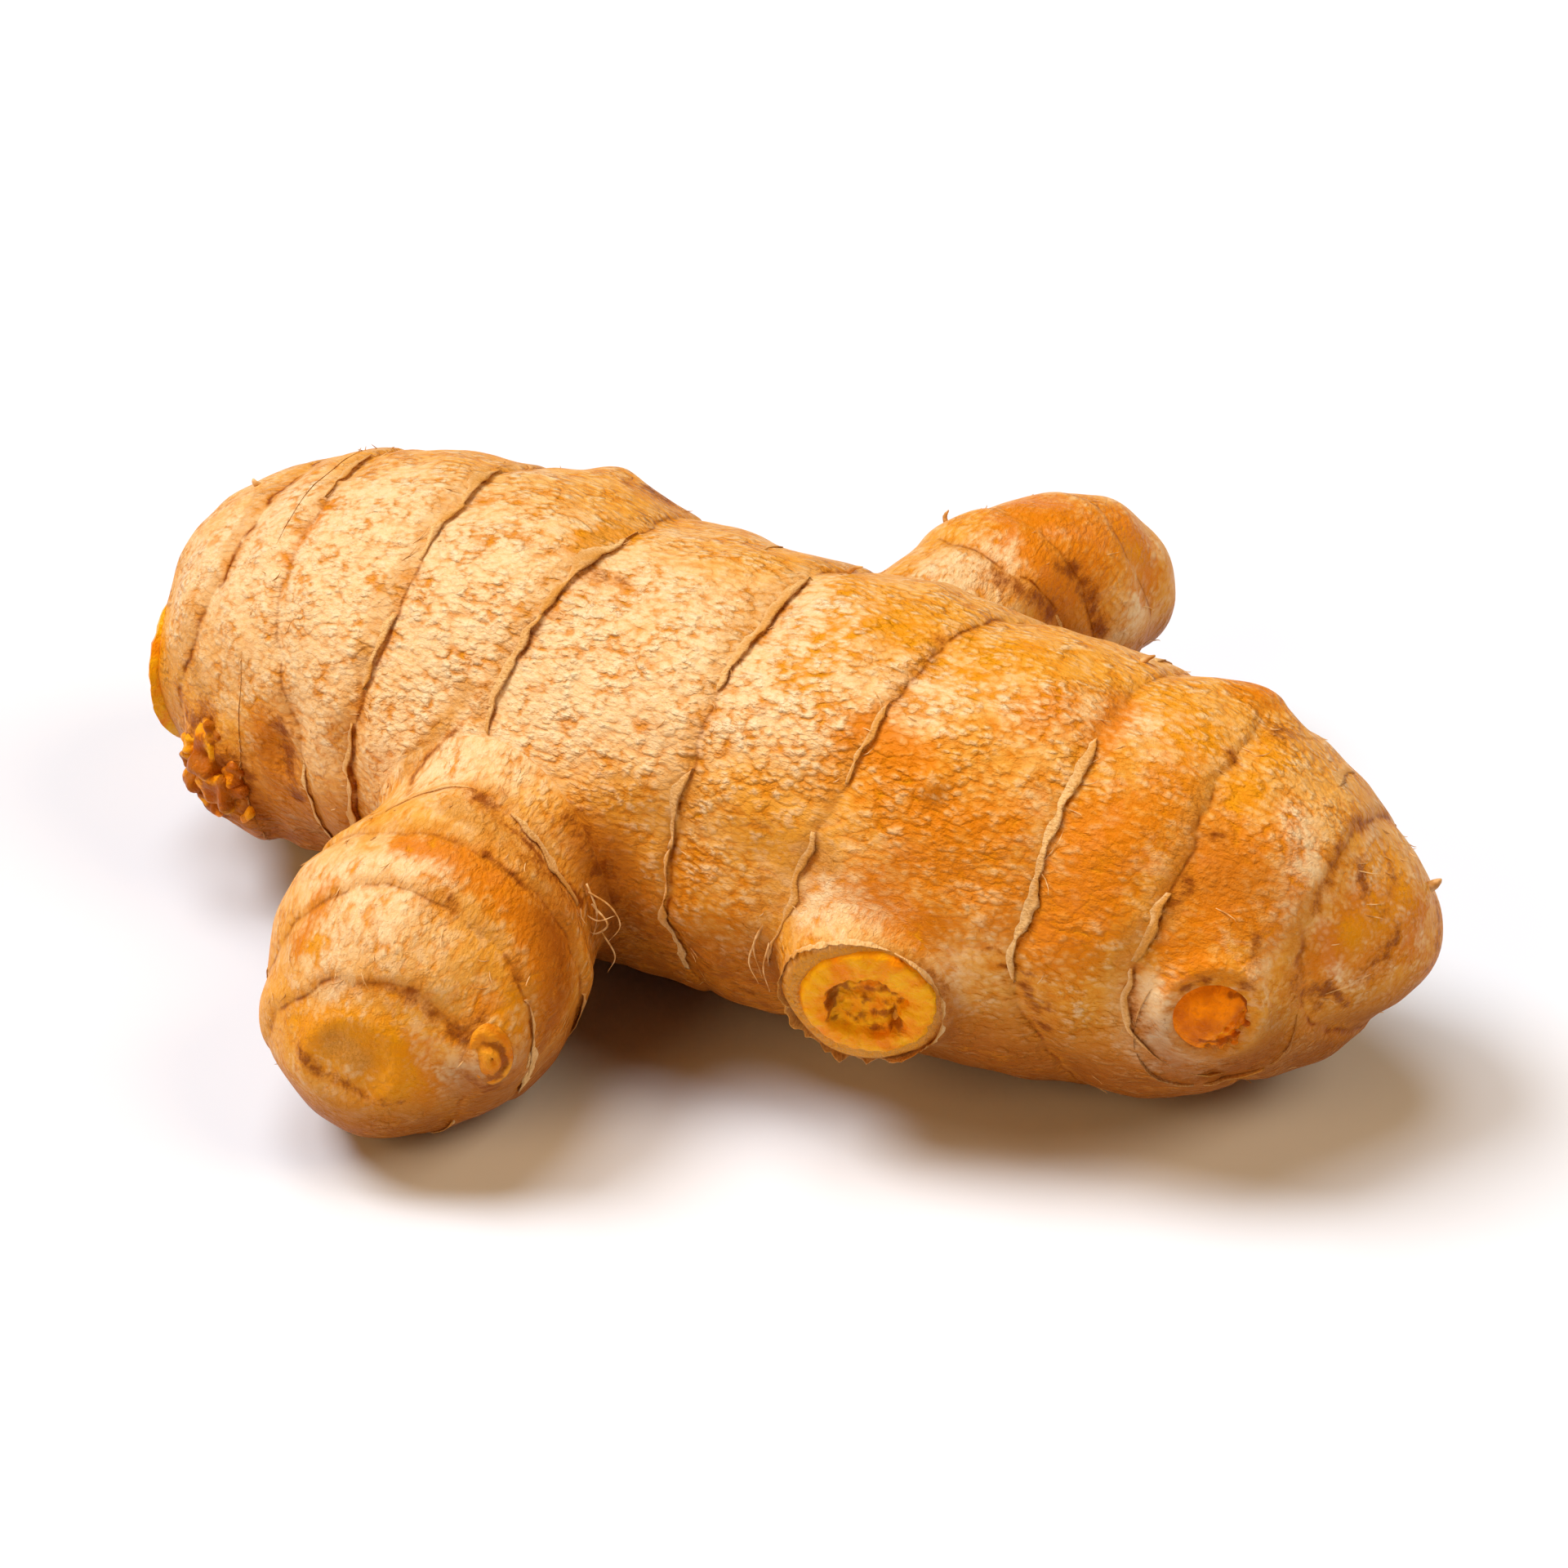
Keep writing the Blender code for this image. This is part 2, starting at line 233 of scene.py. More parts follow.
class Limb:
    """A ball swept along a spine, with its leaf rings and, if it was broken off, its break."""

    def __init__(self, spine, rings=(), dark=(), paper=(), broken=None, bold=1.0):
        line = through(spine)
        self.centres = line[:, :3]
        self.radii = line[:, 3]
        self.rings = np.array(rings)
        self.dark = np.array(dark) / 10
        self.paper = np.array(paper) / 10
        self.bold = bold
        self.broken = broken
        self.ahead, self.side, self.up = axes(self.centres[-1] - self.centres[0])

    def locate(self, points):
        """How far each point is outside the limb, which way is out, and the break's share."""
        squares = (points**2).sum(1)[:, None] + (self.centres**2).sum(1)
        reach = np.sqrt(np.maximum(squares - 2 * points @ self.centres.T, 0)) - self.radii
        last = len(self.centres) - 1
        nearest = np.clip(reach.argmin(1), 1, last - 1)
        row = np.arange(len(points))
        before, here, after = (reach[row, nearest + k] for k in (-1, 0, 1))
        bend = np.maximum(before - 2 * here + after, 1e-6)
        place = nearest + np.clip(0.5 * (before - after) / bend, -1, 1)
        balls = np.arange(last + 1)
        centres = np.stack([np.interp(place, balls, c) for c in self.centres.T], 1)
        out = points - centres
        outside = np.linalg.norm(out, axis=1) - np.interp(place, balls, self.radii)
        out = unit(out)
        share = np.zeros(len(points))
        if self.broken:
            face = np.array(self.broken[0])
            looks = unit(np.array(self.broken[1]))
            beyond = (points - face) @ looks
            share = 1 / (1 + np.exp(np.clip((outside - beyond) / BREAK_EDGE, -50, 50)))
            rounding = -BREAK_EDGE * np.log(np.maximum(share, 1 - share))
            outside = np.maximum(outside, beyond) + rounding
            out = unit(share[:, None] * looks + (1 - share)[:, None] * out)
        return outside, out, share

    def turns(self, out):
        """Which of the eight angles each way out lies at."""
        return np.arctan2(-out @ self.side, -out @ self.up) / (2 * np.pi) * 8 % 8

    def past_rings(self, points, out):
        """How far each point lies past each of the limb's rings."""
        course = round_limb(self.rings, self.turns(out))
        course += RAGGED * grain(points, 2.4, 7.0) + RAGGED / 2 * grain(points, 1.1, 3.0)
        return (points - self.centres[0]) @ self.ahead - course

    def relief(self, points, out):
        """Height of the skin, the nearest ring's gap, and how dark and papery that ring is.

        The ring fades to nothing halfway to the next one, where the gap jumps.
        """
        if not len(self.rings):
            return np.zeros((5, len(points)))
        past = self.past_rings(points, out)
        leaf_base = LIP * np.exp(np.minimum(past, 0) / LEAF_BASE)
        crease = -CREASE * np.exp(-np.maximum(past, 0) / CREASE_WIDTH)
        drop = 1 / (1 + np.exp(np.clip(-past / STEP, -50, 50)))
        strength = 1 + 0.6 * grain(points, 9.0, 1.0)
        height = self.bold * strength * (leaf_base * (1 - drop) + crease * drop).sum(0)
        behind = np.where(past >= 0, past, np.inf).min(0)
        ahead = np.where(past < 0, -past, np.inf).min(0)
        between = np.isfinite(behind) & np.isfinite(ahead)
        share = np.where(between, behind, 0) / np.where(between, behind + ahead, 1)
        height += self.bold * SWELL * np.where(between, np.sin(np.pi * share) ** 0.7, 0)
        nearest = np.abs(past).argmin(0)
        row = np.arange(len(points))
        halfway = np.where(between, np.abs(behind - ahead) / 2, 1.0)
        clear = smooth(halfway, 0.4, 0.9)
        turns = self.turns(out)
        dark = round_limb(self.dark, turns)[nearest, row]
        paper = round_limb(self.paper, turns)[nearest, row]
        return np.stack([height, past[nearest, row], clear, dark, paper])

    def grown(self, points):
        """Places measured across and along the limb, shortened along it as its skin is drawn."""
        offset = points - self.centres[0]
        along = (offset @ self.ahead) / GRAIN_LENGTH
        return np.stack([along, offset @ self.side, offset @ self.up], 1)


LIMBS = [
    Limb(BODY, BODY_RINGS, BODY_DARK, BODY_PAPER, END_BREAK),
    Limb(FRONT_FINGER, FRONT_RINGS, FRONT_DARK, FRONT_PAPER, bold=0.6),
    Limb(BACK_FINGER, BACK_RINGS, BACK_DARK, BACK_PAPER, bold=0.5),
    Limb(FRONT_STUB, broken=FRONT_BREAK),
    Limb(BACK_STUB, broken=BACK_BREAK),
    Limb(END_KNOB),
    Limb(SCAR_COLLAR),
    Limb(BACK_BUD),
    Limb(FINGER_BUD),
]
RINGED = 3  # the first three limbs have rings
KNOB = 5


def settle(points, rounds=4):
    """Moves points onto the skin of all the limbs flowing into each other.

    It returns the points, the way out at each, each limb's share in it and the breaks' share.
    """
    for _ in range(rounds):
        found = [limb.locate(points) for limb in LIMBS]
        outside = np.stack([f[0] for f in found])
        nearest = outside.min(0)
        shares = np.exp((nearest - outside) / BLEND)
        total = shares.sum(0)
        shares /= total
        out = unit(sum(share[:, None] * f[1] for share, f in zip(shares, found)))
        broken = sum(share * f[2] for share, f in zip(shares, found))
        points = points - (nearest - BLEND * np.log(total))[:, None] * out
    return points, out, shares, broken


def mark(points, place, radius, height, rim):
    """Height of a round mark: flat in the middle, with a rim round it."""
    away = np.linalg.norm(points - np.array(place), axis=1) / radius
    return height * np.exp(-away**4) + rim * np.exp(-(((away - 1.25) / 0.3) ** 2))


def touched(points, strokes):
    """How strongly each point lies under any of the soft strokes of a brush."""
    left = np.ones(len(points))
    for width, strength, *places in strokes:
        near = np.full(len(points), np.inf)
        line = np.array(places, float).reshape(-1, 3)
        for start, end in zip(line, line[min(1, len(line) - 1):]):
            along = end - start
            share = (points - start) @ along / max(along @ along, 1e-9)
            foot = start + np.clip(share, 0, 1)[:, None] * along
            near = np.minimum(near, np.linalg.norm(points - foot, axis=1))
        left *= 1 - strength * np.exp(-((near / width) ** 2))
    return 1 - left


# A stroke is its half width and its strength, then the places (x, y, z) that it runs through.
ORANGE_STROKES = [
    (0.5, 0.6, -29.5, -1.5, 24.5, -30, -5, 22.5), (1.1, 0.8, 9, -9, 23.5, 9.5, -8, 24),
    (1.3, 0.9, 10.5, -9, 23.5, 12.5, -9, 23), (2.8, 0.5, 13.5, -10.5, 21, 10, -10.5, 21.5),
    (2.6, 0.5, 14.5, -12, 19, 17, -12.5, 18, 22, -11.5, 15), (2.2, 0.6, 16.5, -10.5, 21, 19, -9.5, 21),
    (2.0, 0.7, 12, -13.5, 17, 15, -13.5, 15.5), (1.0, 1.0, 21.5, -1, 24.5, 21.5, -4.5, 24),
    (1.8, 0.5, 18.5, -3.5, 24.5, 17, -6, 24),
    (2.6, 0.95, 23.5, -8.5, 20.5, 23.5, -10.5, 18.5, 22, -11.5, 17),
    (2.2, 1.0, 29.5, -6.5, 19.5, 29.5, -8, 18), (1.7, 0.8, 28.5, -10, 16, 29.5, -10, 15),
    (2.5, 0.5, 25, -6, 21, 26, -3, 22), (3.0, 0.45, 31, -4, 19, 32, -6, 17),
    (1.7, 1.0, -10, -21.3, 17.3, -7.5, -21.3, 16.3, -6, -21.5, 14.6, -5, -21.5, 12.5),
    (1.6, 1.0, -5, -21.5, 12.5, -4.8, -22.5, 11, -4.5, -22, 9),
    (1.0, 0.9, -13.5, -21.5, 17.5, -11.5, -21.5, 17.5), (0.9, 0.9, -16.5, -25, 15, -17, -27, 13),
    (1.0, 0.8, -7.5, -27, 10, -6.5, -26, 11.5), (1.7, 0.7, -9, -29.5, 9.5, -8.5, -29.5, 7),
    (2.0, 1.0, 5, 23, 18.5, 6, 25, 18), (2.4, 0.9, 5.5, 26.5, 18, 9, 25.5, 17, 9, 22.5, 16),
    (1.7, 0.8, 8.5, 21, 16, 7, 21.5, 18), (2.0, 0.9, 10, 29, 16.5, 12.5, 28, 14.5),
    (1.4, 0.8, 38.5, 1.5, 14, 38.5, 0, 12.5), (1.3, 0.7, 37, -0.5, 15, 37.5, -2.5, 12.5),
    (1.6, 0.7, 36.5, -2.5, 16, 36, -4.5, 14), (1.6, 0.6, 35.5, -5, 14, 35, -6.5, 12.5),
    (3.5, 0.6, 38, 3, 8, 36, 0, 6), (1.8, 0.8, -29, -10.5, 13.5, -28, -10.5, 10.5),
    (3.0, 0.9, -33.5, -9, 8.5, -32, -9.5, 7), (3.0, 0.35, 0, -13.5, 14, 4, -14, 13),
    (1.8, 1.0, 27, 5.6, 21.6),
]
YELLOW_STROKES = [
    (2.2, 0.45, 4, 1, 26.3, 9, -2, 26), (1.2, 1.0, 36.5, -3, 14.5, 37.5, 1.5, 14.5),
    (0.9, 0.6, 38.5, 3, 11.5, 37.5, 0, 10.5), (0.7, 0.5, -12.5, -24.5, 16, -9.5, -26, 14),
    (1.2, 0.9, -12, -1, 26.3, -11, 1, 26.5), (1.2, 1.0, 29.5, -2.5, 21.5),
    (1.0, 0.8, 30, 1, 22, 29, 1.5, 22), (2.4, 0.55, 15, 0, 25.5, 13, -3.5, 25.5),
    (2.2, 0.45, 4.5, -6.5, 25, 5.5, -3.5, 26), (0.9, 0.8, -16, -27.5, 13.5),
    (1.7, 1.0, -15, -30.5, 10, -13, -30.5, 10, -10.5, -30, 9.5, -10, -30.5, 7.5),
    (1.5, 0.8, 11.5, 27.5, 15), (1.2, 0.6, 36.5, 0, 17.3, 37, 2.5, 17),
    (2.2, 0.5, 24, 0, 23.7, 26, -1, 23), (1.5, 0.8, -40, -6, 14, -39.5, -5, 8),
    (1.0, 0.5, -6, -26, 10.5, -5, -24, 11.5),
]
PALE_STROKES = [
    (0.7, 0.9, 36, -1.5, 16.5, 35.5, 2.5, 17.5), (0.6, 0.8, 37, -3.5, 11.5, 38, -1, 11.5),
    (1.0, 0.7, 33, -4, 18, 32.5, -8, 14), (1.2, 0.7, 28, -12, 9, 31, -11.5, 8.5),
    (1.2, 0.8, 8, 24.5, 13.5, 10.5, 26, 12), (0.7, 0.8, 7, 23.5, 18, 8.5, 25.5, 17),
    (1.4, 0.9, -12, -22.5, 17.3, -14.5, -24, 16), (0.7, 0.8, -6.5, -25.2, 11.5, -5.5, -25, 9.5),
    (3.5, 0.5, 10, 8, 22, 18, 9, 18, 26, 8, 15), (4.0, 0.5, -30, 12, 18, -22, 13.5, 14, -8, 12, 17),
    (2.0, 0.6, 0, 26, 12, 4, 30, 12), (1.5, 0.8, 28.5, -7.5, 15, 29.5, -8.5, 13.5),
    (1.8, 0.6, 9, -13.5, 16, 12, -14, 16), (0.9, 0.8, 35.5, 1.5, 17, 37, -1.5, 15.5),
    (0.8, 0.7, 37.5, 3, 15, 39, 1, 12), (2.5, 0.7, 2, 11, 17, 3, 14, 18),
    (7.5, 0.9, -33, -4, 21.5, -22, -4, 25, -13, -7, 24), (4.5, 0.75, -12, -10, 21, -4, -9, 22.5),
    (3.5, 0.6, -8, -4, 26, -3, -5, 25.5), (4.0, 0.85, 1, -8.5, 24, 5, -8.5, 23.5, 3, -2, 26),
    (3.0, 0.7, 11, -6, 24.8), (2.0, 0.6, 8.5, -14.8, 15.5), (2.6, 0.8, -14, -14, 18),
    (2.2, 0.5, 16.5, -4.5, 24.7, 22.5, -1.5, 24),
    (3.0, 0.6, -16, -24, 14.5, -12.5, -25, 16, -14.5, -28, 13.5), (2.2, 0.7, -6, -27.5, 8),
    (4.0, 0.55, -24.5, -8, 21.5, -20, -12, 18), (2.5, 0.8, 3.5, 17.5, 18.5, 5, 19, 18),
    (3.5, 0.2, -26, -11, 16, -20, -13.5, 12),
    (1.4, 0.9, 15.6, -13.4, 12.5, 15.8, -12.8, 9.5, 14.5, -12.5, 6.5),
    (1.8, 1.0, 27.6, -11, 12.5, 27.8, -10.8, 9.5, 30, -10.2, 8.5),
    (1.4, 0.9, 10.5, 24.5, 11.5, 11.9, 26.5, 13), (0.8, 0.7, 5, 19, 18.6, 5.8, 21.5, 18.8),
    (0.6, 1.0, 34.9, -4.4, 15.5, 36.4, -4.6, 12.3), (0.5, 1.0, 37.4, -1.5, 15, 38.4, 0.4, 14.2),
    (1.0, 0.8, 32, -2, 20.5, 33.5, -3.5, 18.5), (0.4, 0.8, 36, -0.5, 17, 37.8, -0.5, 14.5),
]
BROWN_STROKES = [
    (0.35, 0.9, -17, -28, 11, -15, -31, 8, -11, -31, 6.5, -8, -29.5, 6),
    (0.4, 0.7, -18.5, -22, 13.5, -18.5, -25.5, 11.5), (0.35, 0.8, -4.6, -22, 10, -5, -25.5, 7.5),
    (0.35, 0.8, 22, -12.5, 12, 23, -12.5, 10), (0.5, 0.5, -33, -6.5, 19, -34.5, -8, 15),
    (0.8, 0.6, -20, 12, 17, -18.5, 12.5, 14), (0.6, 0.6, 15, 10, 17, 16, 10.5, 15),
    (1.2, 0.9, -28, -10.5, 14.6, -27.6, -11, 12.5, -27.2, -11, 10),
    (0.5, 0.7, -11, -3.5, 26, -8.5, -3.7, 26),
    # The first stroke on the next line paints shade in the fold right of the front finger.
    (1.5, 0.7, -6.5, -14, 16.5, -5, -14, 14, -4.5, -14.5, 12), (0.6, 1.0, 28, -0.5, 22.5),
    (0.8, 0.9, 29, -5.5, 20.5), (0.8, 0.8, 28.5, -8, 19, 28, -9, 18), (0.7, 1.0, 35, 1.5, 18.5),
    (0.6, 0.7, 34.5, -1, 18.5, 34.5, -3, 17.5, 34.5, -5, 16.5), (0.8, 0.8, 38.5, -1, 13.5, 38, -3, 12),
    (0.8, 0.9, 5.8, 18.2, 18, 7, 18.6, 17, 8.5, 19.5, 15.5, 9.5, 20.5, 14),
    (0.55, 0.7, 8.2, 22, 17, 9.2, 22.2, 16, 9.7, 22.5, 14.5), (0.4, 0.8, 8, 26, 17, 10, 27, 16),
    (0.9, 0.9, 9, 23, 16.5, 11, 23, 12.5),
    (0.35, 0.8, -14, -28.6, 12.6, -12, -28.5, 13, -9.5, -28, 12.8),
    (0.6, 0.8, -9.8, -28.2, 12.6, -8, -28.2, 11.6, -7, -28, 10.6),
    (0.4, 0.9, -6.3, -23, 13.6, -5.5, -24, 12.4), (0.45, 0.6, -10.5, -23.5, 17, -9, -24, 16),
    (0.75, 1.0, -12, -16.4, 18.2, -10.2, -16.7, 17.9),
    (0.4, 1.0, -9.6, -17.2, 17.4, -7.5, -17.2, 16.2, -5.9, -17, 14.6, -4.9, -16.4, 12.7),
    (0.3, 1.0, -9.3, -20.1, 17.2, -7.2, -20, 16, -5.8, -20, 14),
    (0.28, 0.8, -16, -20.5, 16.5, -13.5, -20.5, 17.6, -11, -20.3, 17.6),
    (0.8, 0.5, -9, -18.5, 17, -6.5, -18, 15.5, -5, -17.5, 13.5),
    (0.28, 1.0, -14, -10, 21.5, -15, -12, 19, -16.5, -13.5, 17.5, -17, -14.5, 16.5),
    (0.3, 1.0, -17, -14.5, 16.5, -16.5, -16.5, 17), (0.4, 0.5, -16.4, -28.5, 10.5, -15, -31, 8.5),
    # The first stroke on the next line paints shade low on the body's front.
    (3.0, 0.45, -1, -13, 8, 5, -12.5, 6), (1.0, 0.8, -36.5, -8.3, 11.5, -34.5, -9.3, 12.5),
    (0.8, 0.8, -5.5, -27.3, 9, -5.5, -27, 6.5), (0.7, 0.7, 10.5, -1.5, 26), (1.2, 0.8, 29.5, 3.5, 21.5),
    (1.0, 0.7, 34.5, -6.5, 13, 36, -5.5, 11), (3.2, 1.0, -33, -10, 9.5, -35, -9, 6),
    (1.5, 0.6, -31, -10.5, 9.5, -30, -10.5, 6), (0.6, 0.6, 21, -13, 13, 22, -12, 9.5),
    (0.7, 0.7, 26.5, -11.5, 13, 27.5, -11.5, 10.5), (2.2, 0.7, -13, 8.5, 24, -12, 10, 23),
    (1.0, 0.6, 39.5, 3.5, 12, 39, 2, 10), (0.35, 0.8, 36.5, 2.5, 17.5, 37.5, 1, 16, 37.5, -1, 14.8),
    (0.3, 0.7, 37.8, 3.5, 15, 38.5, 2, 13.5, 38.8, 1, 11.5),
    (0.3, 0.7, 36.5, -3.5, 13.5, 37, -2.5, 11.5), (0.4, 0.7, 33, -9, 13.5, 34, -8, 14.5),
    (0.5, 0.9, 35.8, -0.5, 17.6, 36.6, -1.5, 16.2), (0.4, 0.9, 38.6, 1.5, 14, 38.2, 0, 13),
    (0.5, 0.8, 36, -5, 12, 36.9, -3.9, 10), (0.4, 0.8, 32.2, -7.5, 16, 31.8, -9, 13),
    (0.22, 0.9, 18.6, -13.1, 14.7, 20.1, -12.8, 14.5),
    (0.25, 1.0, 19.4, -13.1, 13.8, 21.2, -12.7, 13.6),
    (0.22, 1.0, 19.6, -13.1, 12.7, 21.4, -12.8, 12.5), (0.25, 1.0, 19.8, -13, 11.5, 21.7, -12.6, 11.2),
    (0.25, 0.9, 20.3, -12.7, 10.1, 22.2, -12.3, 9.6),
]
PAPER_STROKES = [
    (1.2, 1.0, -12, -18.3, 18, -9, -18.3, 17, -6.5, -18, 15.5, -5, -17.5, 13.5),
    (1.0, 0.8, -15.2, -10.5, 20.8, -16.5, -12.5, 18, -17.8, -13.8, 16.5), (0.9, 0.8, -22.5, -9.5, 21),
    (0.7, 0.9, -0.5, -11.5, 20.5, 0, -12.5, 19), (0.9, 0.9, 5, -14, 12.5, 5.5, -14, 10),
    (1.2, 0.8, 7.5, -13, 18, 9, -13, 18), (1.2, 0.8, -36, -8, 15, -35, -8.5, 14),
    (1.3, 0.75, -13.6, -31, 9.8, -12, -30.6, 9), (0.8, 0.7, 28, -8, 18.5, 28, -9.5, 17),
    (1.5, 0.5, 30, -9.5, 9, 33.5, -9, 11), (1.0, 0.5, 36, 3, 17.5, 38, 3.5, 15),
    (1.0, 0.6, 37, -1.5, 11, 37.8, 0.5, 9.5),
]
# Strokes of painted shade: on the front finger's right side, in the fold beside it, low on the body's
# front, by the stub, on the back finger, on the knob and on the body near its tip.
SHADE_STROKES = [
    (1.9, 0.85, -5, -20, 13.5, -4.3, -21.5, 10.5, -4.6, -23.5, 8),
    (2.0, 0.9, -4.9, -14, 14.6, -4.2, -14.2, 12.5, -3, -13.5, 10, -1.5, -13.2, 8.5),
    (3.4, 1.0, -3, -13.5, 8.5, 1.3, -12.9, 8, 4.5, -13.1, 8), (1.4, 0.5, 7.5, -14.2, 10, 8, -13, 7),
    (1.6, 0.5, 8.5, 20.5, 14.5, 10, 22, 12.5, 10.5, 21, 10),
    (1.6, 0.5, -29.3, -10.6, 12, -29.3, -9.7, 7), (2.0, 0.3, 29.5, -7, 19, 32.7, -5.4, 17.9),
]
BARE_STROKES = [
    (5.5, 0.5, 36, 0, 14, 39, 3, 10), (7.5, 0.8, -13.5, -19, 14, -13.5, -28, 10),
    (7.5, 0.75, 5, 20, 14, 8, 28, 12), (5.0, 0.6, 28, -6, 17, 31, -5, 15),
    (4.0, 0.45, 22, -9, 19, 24, -2, 23), (3.6, 0.95, 8.5, -13.5, 15.5, 12, -14.5, 15.5, 15, -13, 13),
    (2.5, 0.8, 15, -13.5, 9, 12, -13.5, 6), (3.2, 0.8, 31, -10, 12.5),
    (6.0, 0.35, -33, -2, 20, -31, -8, 16),
]


def loop(place, looks, wide, tall):
    """A stroke's places round an oval that faces the given way."""
    looks, across, upright = axes(looks)
    angle = np.linspace(0, 2 * np.pi, 17)[:, None]
    places = np.array(place) + wide * np.cos(angle) * across + tall * np.sin(angle) * upright
    return places.ravel()


# The rounds of flesh and the finger's bud: (middle, way it looks, half its width, half its height).
STUB_FACE = ((12.45, -15.3, 10.45), (0.30, -0.94, -0.16), 4.3, 4.4)
SCAR_FACE = ((31.2, -10.4, 12.3), (0.39, -0.86, 0.33), 2.5, 2.2)
BUD_FACE = ((-5.5, -27.0, 9.2), (0.62, -0.76, 0.2), 1.4, 2.1)
END_FACE = ((-40.1, 1.0, 10.8), END_BREAK[1], 7.3, 6.3)
BACK_FACE = ((-14.4, 10.6, 22.0), BACK_BREAK[1], 2.0, 2.0)

BROWN_STROKES += [
    (0.3, 0.8, *loop(*SCAR_FACE)),
    (0.3, 0.8, *loop(*STUB_FACE[:2], 4.5, 4.6)),
    (0.5, 0.85, *loop(*BUD_FACE[:2], 1.6, 2.4)),
]
PAPER_STROKES += [(0.4, 0.4, *loop(*STUB_FACE[:2], 4.9, 5.0))]
STROKES = {
    "orange": ORANGE_STROKES,
    "yellow": YELLOW_STROKES,
    "pale": PALE_STROKES,
    "brown": BROWN_STROKES,
    "parchment": PAPER_STROKES,
    "bare": BARE_STROKES,
    "shade": SHADE_STROKES,
}


def raise_relief(points, out, shares):
    """Lifts the skin to its rings, swellings, marks and lumps.

    It returns the points, the gap to the nearest ring, how clearly that ring shows, and how
    dark and papery it is.
    """
    reliefs = np.stack([limb.relief(points, out) for limb in LIMBS])
    height = (shares * reliefs[:, 0]).sum(0)
    row = np.arange(len(points))
    limb = shares[:RINGED].argmax(0)
    _, gap, clear, dark, paper = reliefs[limb, :, row].T
    clear = clear * smooth(shares[limb, row], 0.45, 0.75)
    for place, radius, depth, rim in MARKS:
        height += mark(points, place, radius, depth, rim)
    for seed, (size, lump) in enumerate(LUMPS):
        height += lump * grain(points, size, 11.0 + seed)
    size, lump = KNOB_LUMPS
    height += lump * shares[KNOB] * grain(points, size, 5.0)
    return points + height[:, None] * out, gap, clear, dark, paper


def to_frame(points):
    """Points of the rhizome's grid in the solid's frame, resting on the surface."""
    placed = points - ORIGIN
    placed[:, 2] = np.maximum(placed[:, 2], 0)
    return placed * MM


def link(obj):
    bpy.context.scene.collection.objects.link(obj)
    return obj


def balls():
    """A mesh of every ball of every limb, overlapping like beads."""
    shape = bmesh.new()
    for limb in LIMBS:
        for centre, radius in zip(limb.centres, limb.radii):
            ball = bmesh.ops.create_icosphere(shape, subdivisions=3, radius=radius * MM)
            bmesh.ops.translate(shape, verts=ball["verts"], vec=Vector(centre) * MM)
    mesh = bpy.data.meshes.new("skin")
    shape.to_mesh(mesh)
    shape.free()
    return mesh


def fused(mesh):
    """One closed skin, of even small faces, round overlapping balls."""
    obj = link(bpy.data.objects.new("skin", mesh))
    remesh = obj.modifiers.new("fuse", "REMESH")
    remesh.mode = "VOXEL"
    remesh.voxel_size = SKIN_VOXEL * MM
    graph = bpy.context.evaluated_depsgraph_get()
    obj.data = bpy.data.meshes.new_from_object(obj.evaluated_get(graph))
    obj.modifiers.clear()
    return obj


def add_values(mesh, name, values):
    kind = "FLOAT" if values.ndim == 1 else "FLOAT_VECTOR"
    field = "value" if values.ndim == 1 else "vector"
    layer = mesh.attributes.new(name, kind, "POINT")
    layer.data.foreach_set(field, values.astype(np.float32).ravel())


def make_skin():
    """The whole rhizome's skin, with the places of its colours kept at its corners."""
    obj = fused(balls())
    mesh = obj.data
    points = np.empty(len(mesh.vertices) * 3)
    mesh.vertices.foreach_get("co", points)
    points, out, shares, broken = settle(points.reshape(-1, 3) / MM)
    raised, gap, clear, dark, paper = raise_relief(points, out, shares)
    mesh.vertices.foreach_set("co", to_frame(raised).ravel())
    mesh.update()
    add_values(mesh, "grown", LIMBS[0].grown(points))
    add_values(mesh, "grown_finger", LIMBS[1].grown(points))
    add_values(mesh, "finger", shares[1:4].sum(0))
    add_values(mesh, "gap", gap)
    add_values(mesh, "dark", clear * dark)
    add_values(mesh, "paper", clear * paper)
    add_values(mesh, "flesh", broken)
    for name, strokes in STROKES.items():
        add_values(mesh, name, touched(points, strokes))
    # Painted shade: the values below darken the skin where it faces down, and in the folds that face
    # down where limbs meet.
    shaded = smooth(-out[:, 2], -0.6, 0.1)
    add_values(mesh, "under", smooth(-out[:, 2], -0.15, 0.6))
    add_values(mesh, "painted_fold_shade", (1 - shares.max(0)) * shaded)
    mesh.shade_smooth()
    return obj


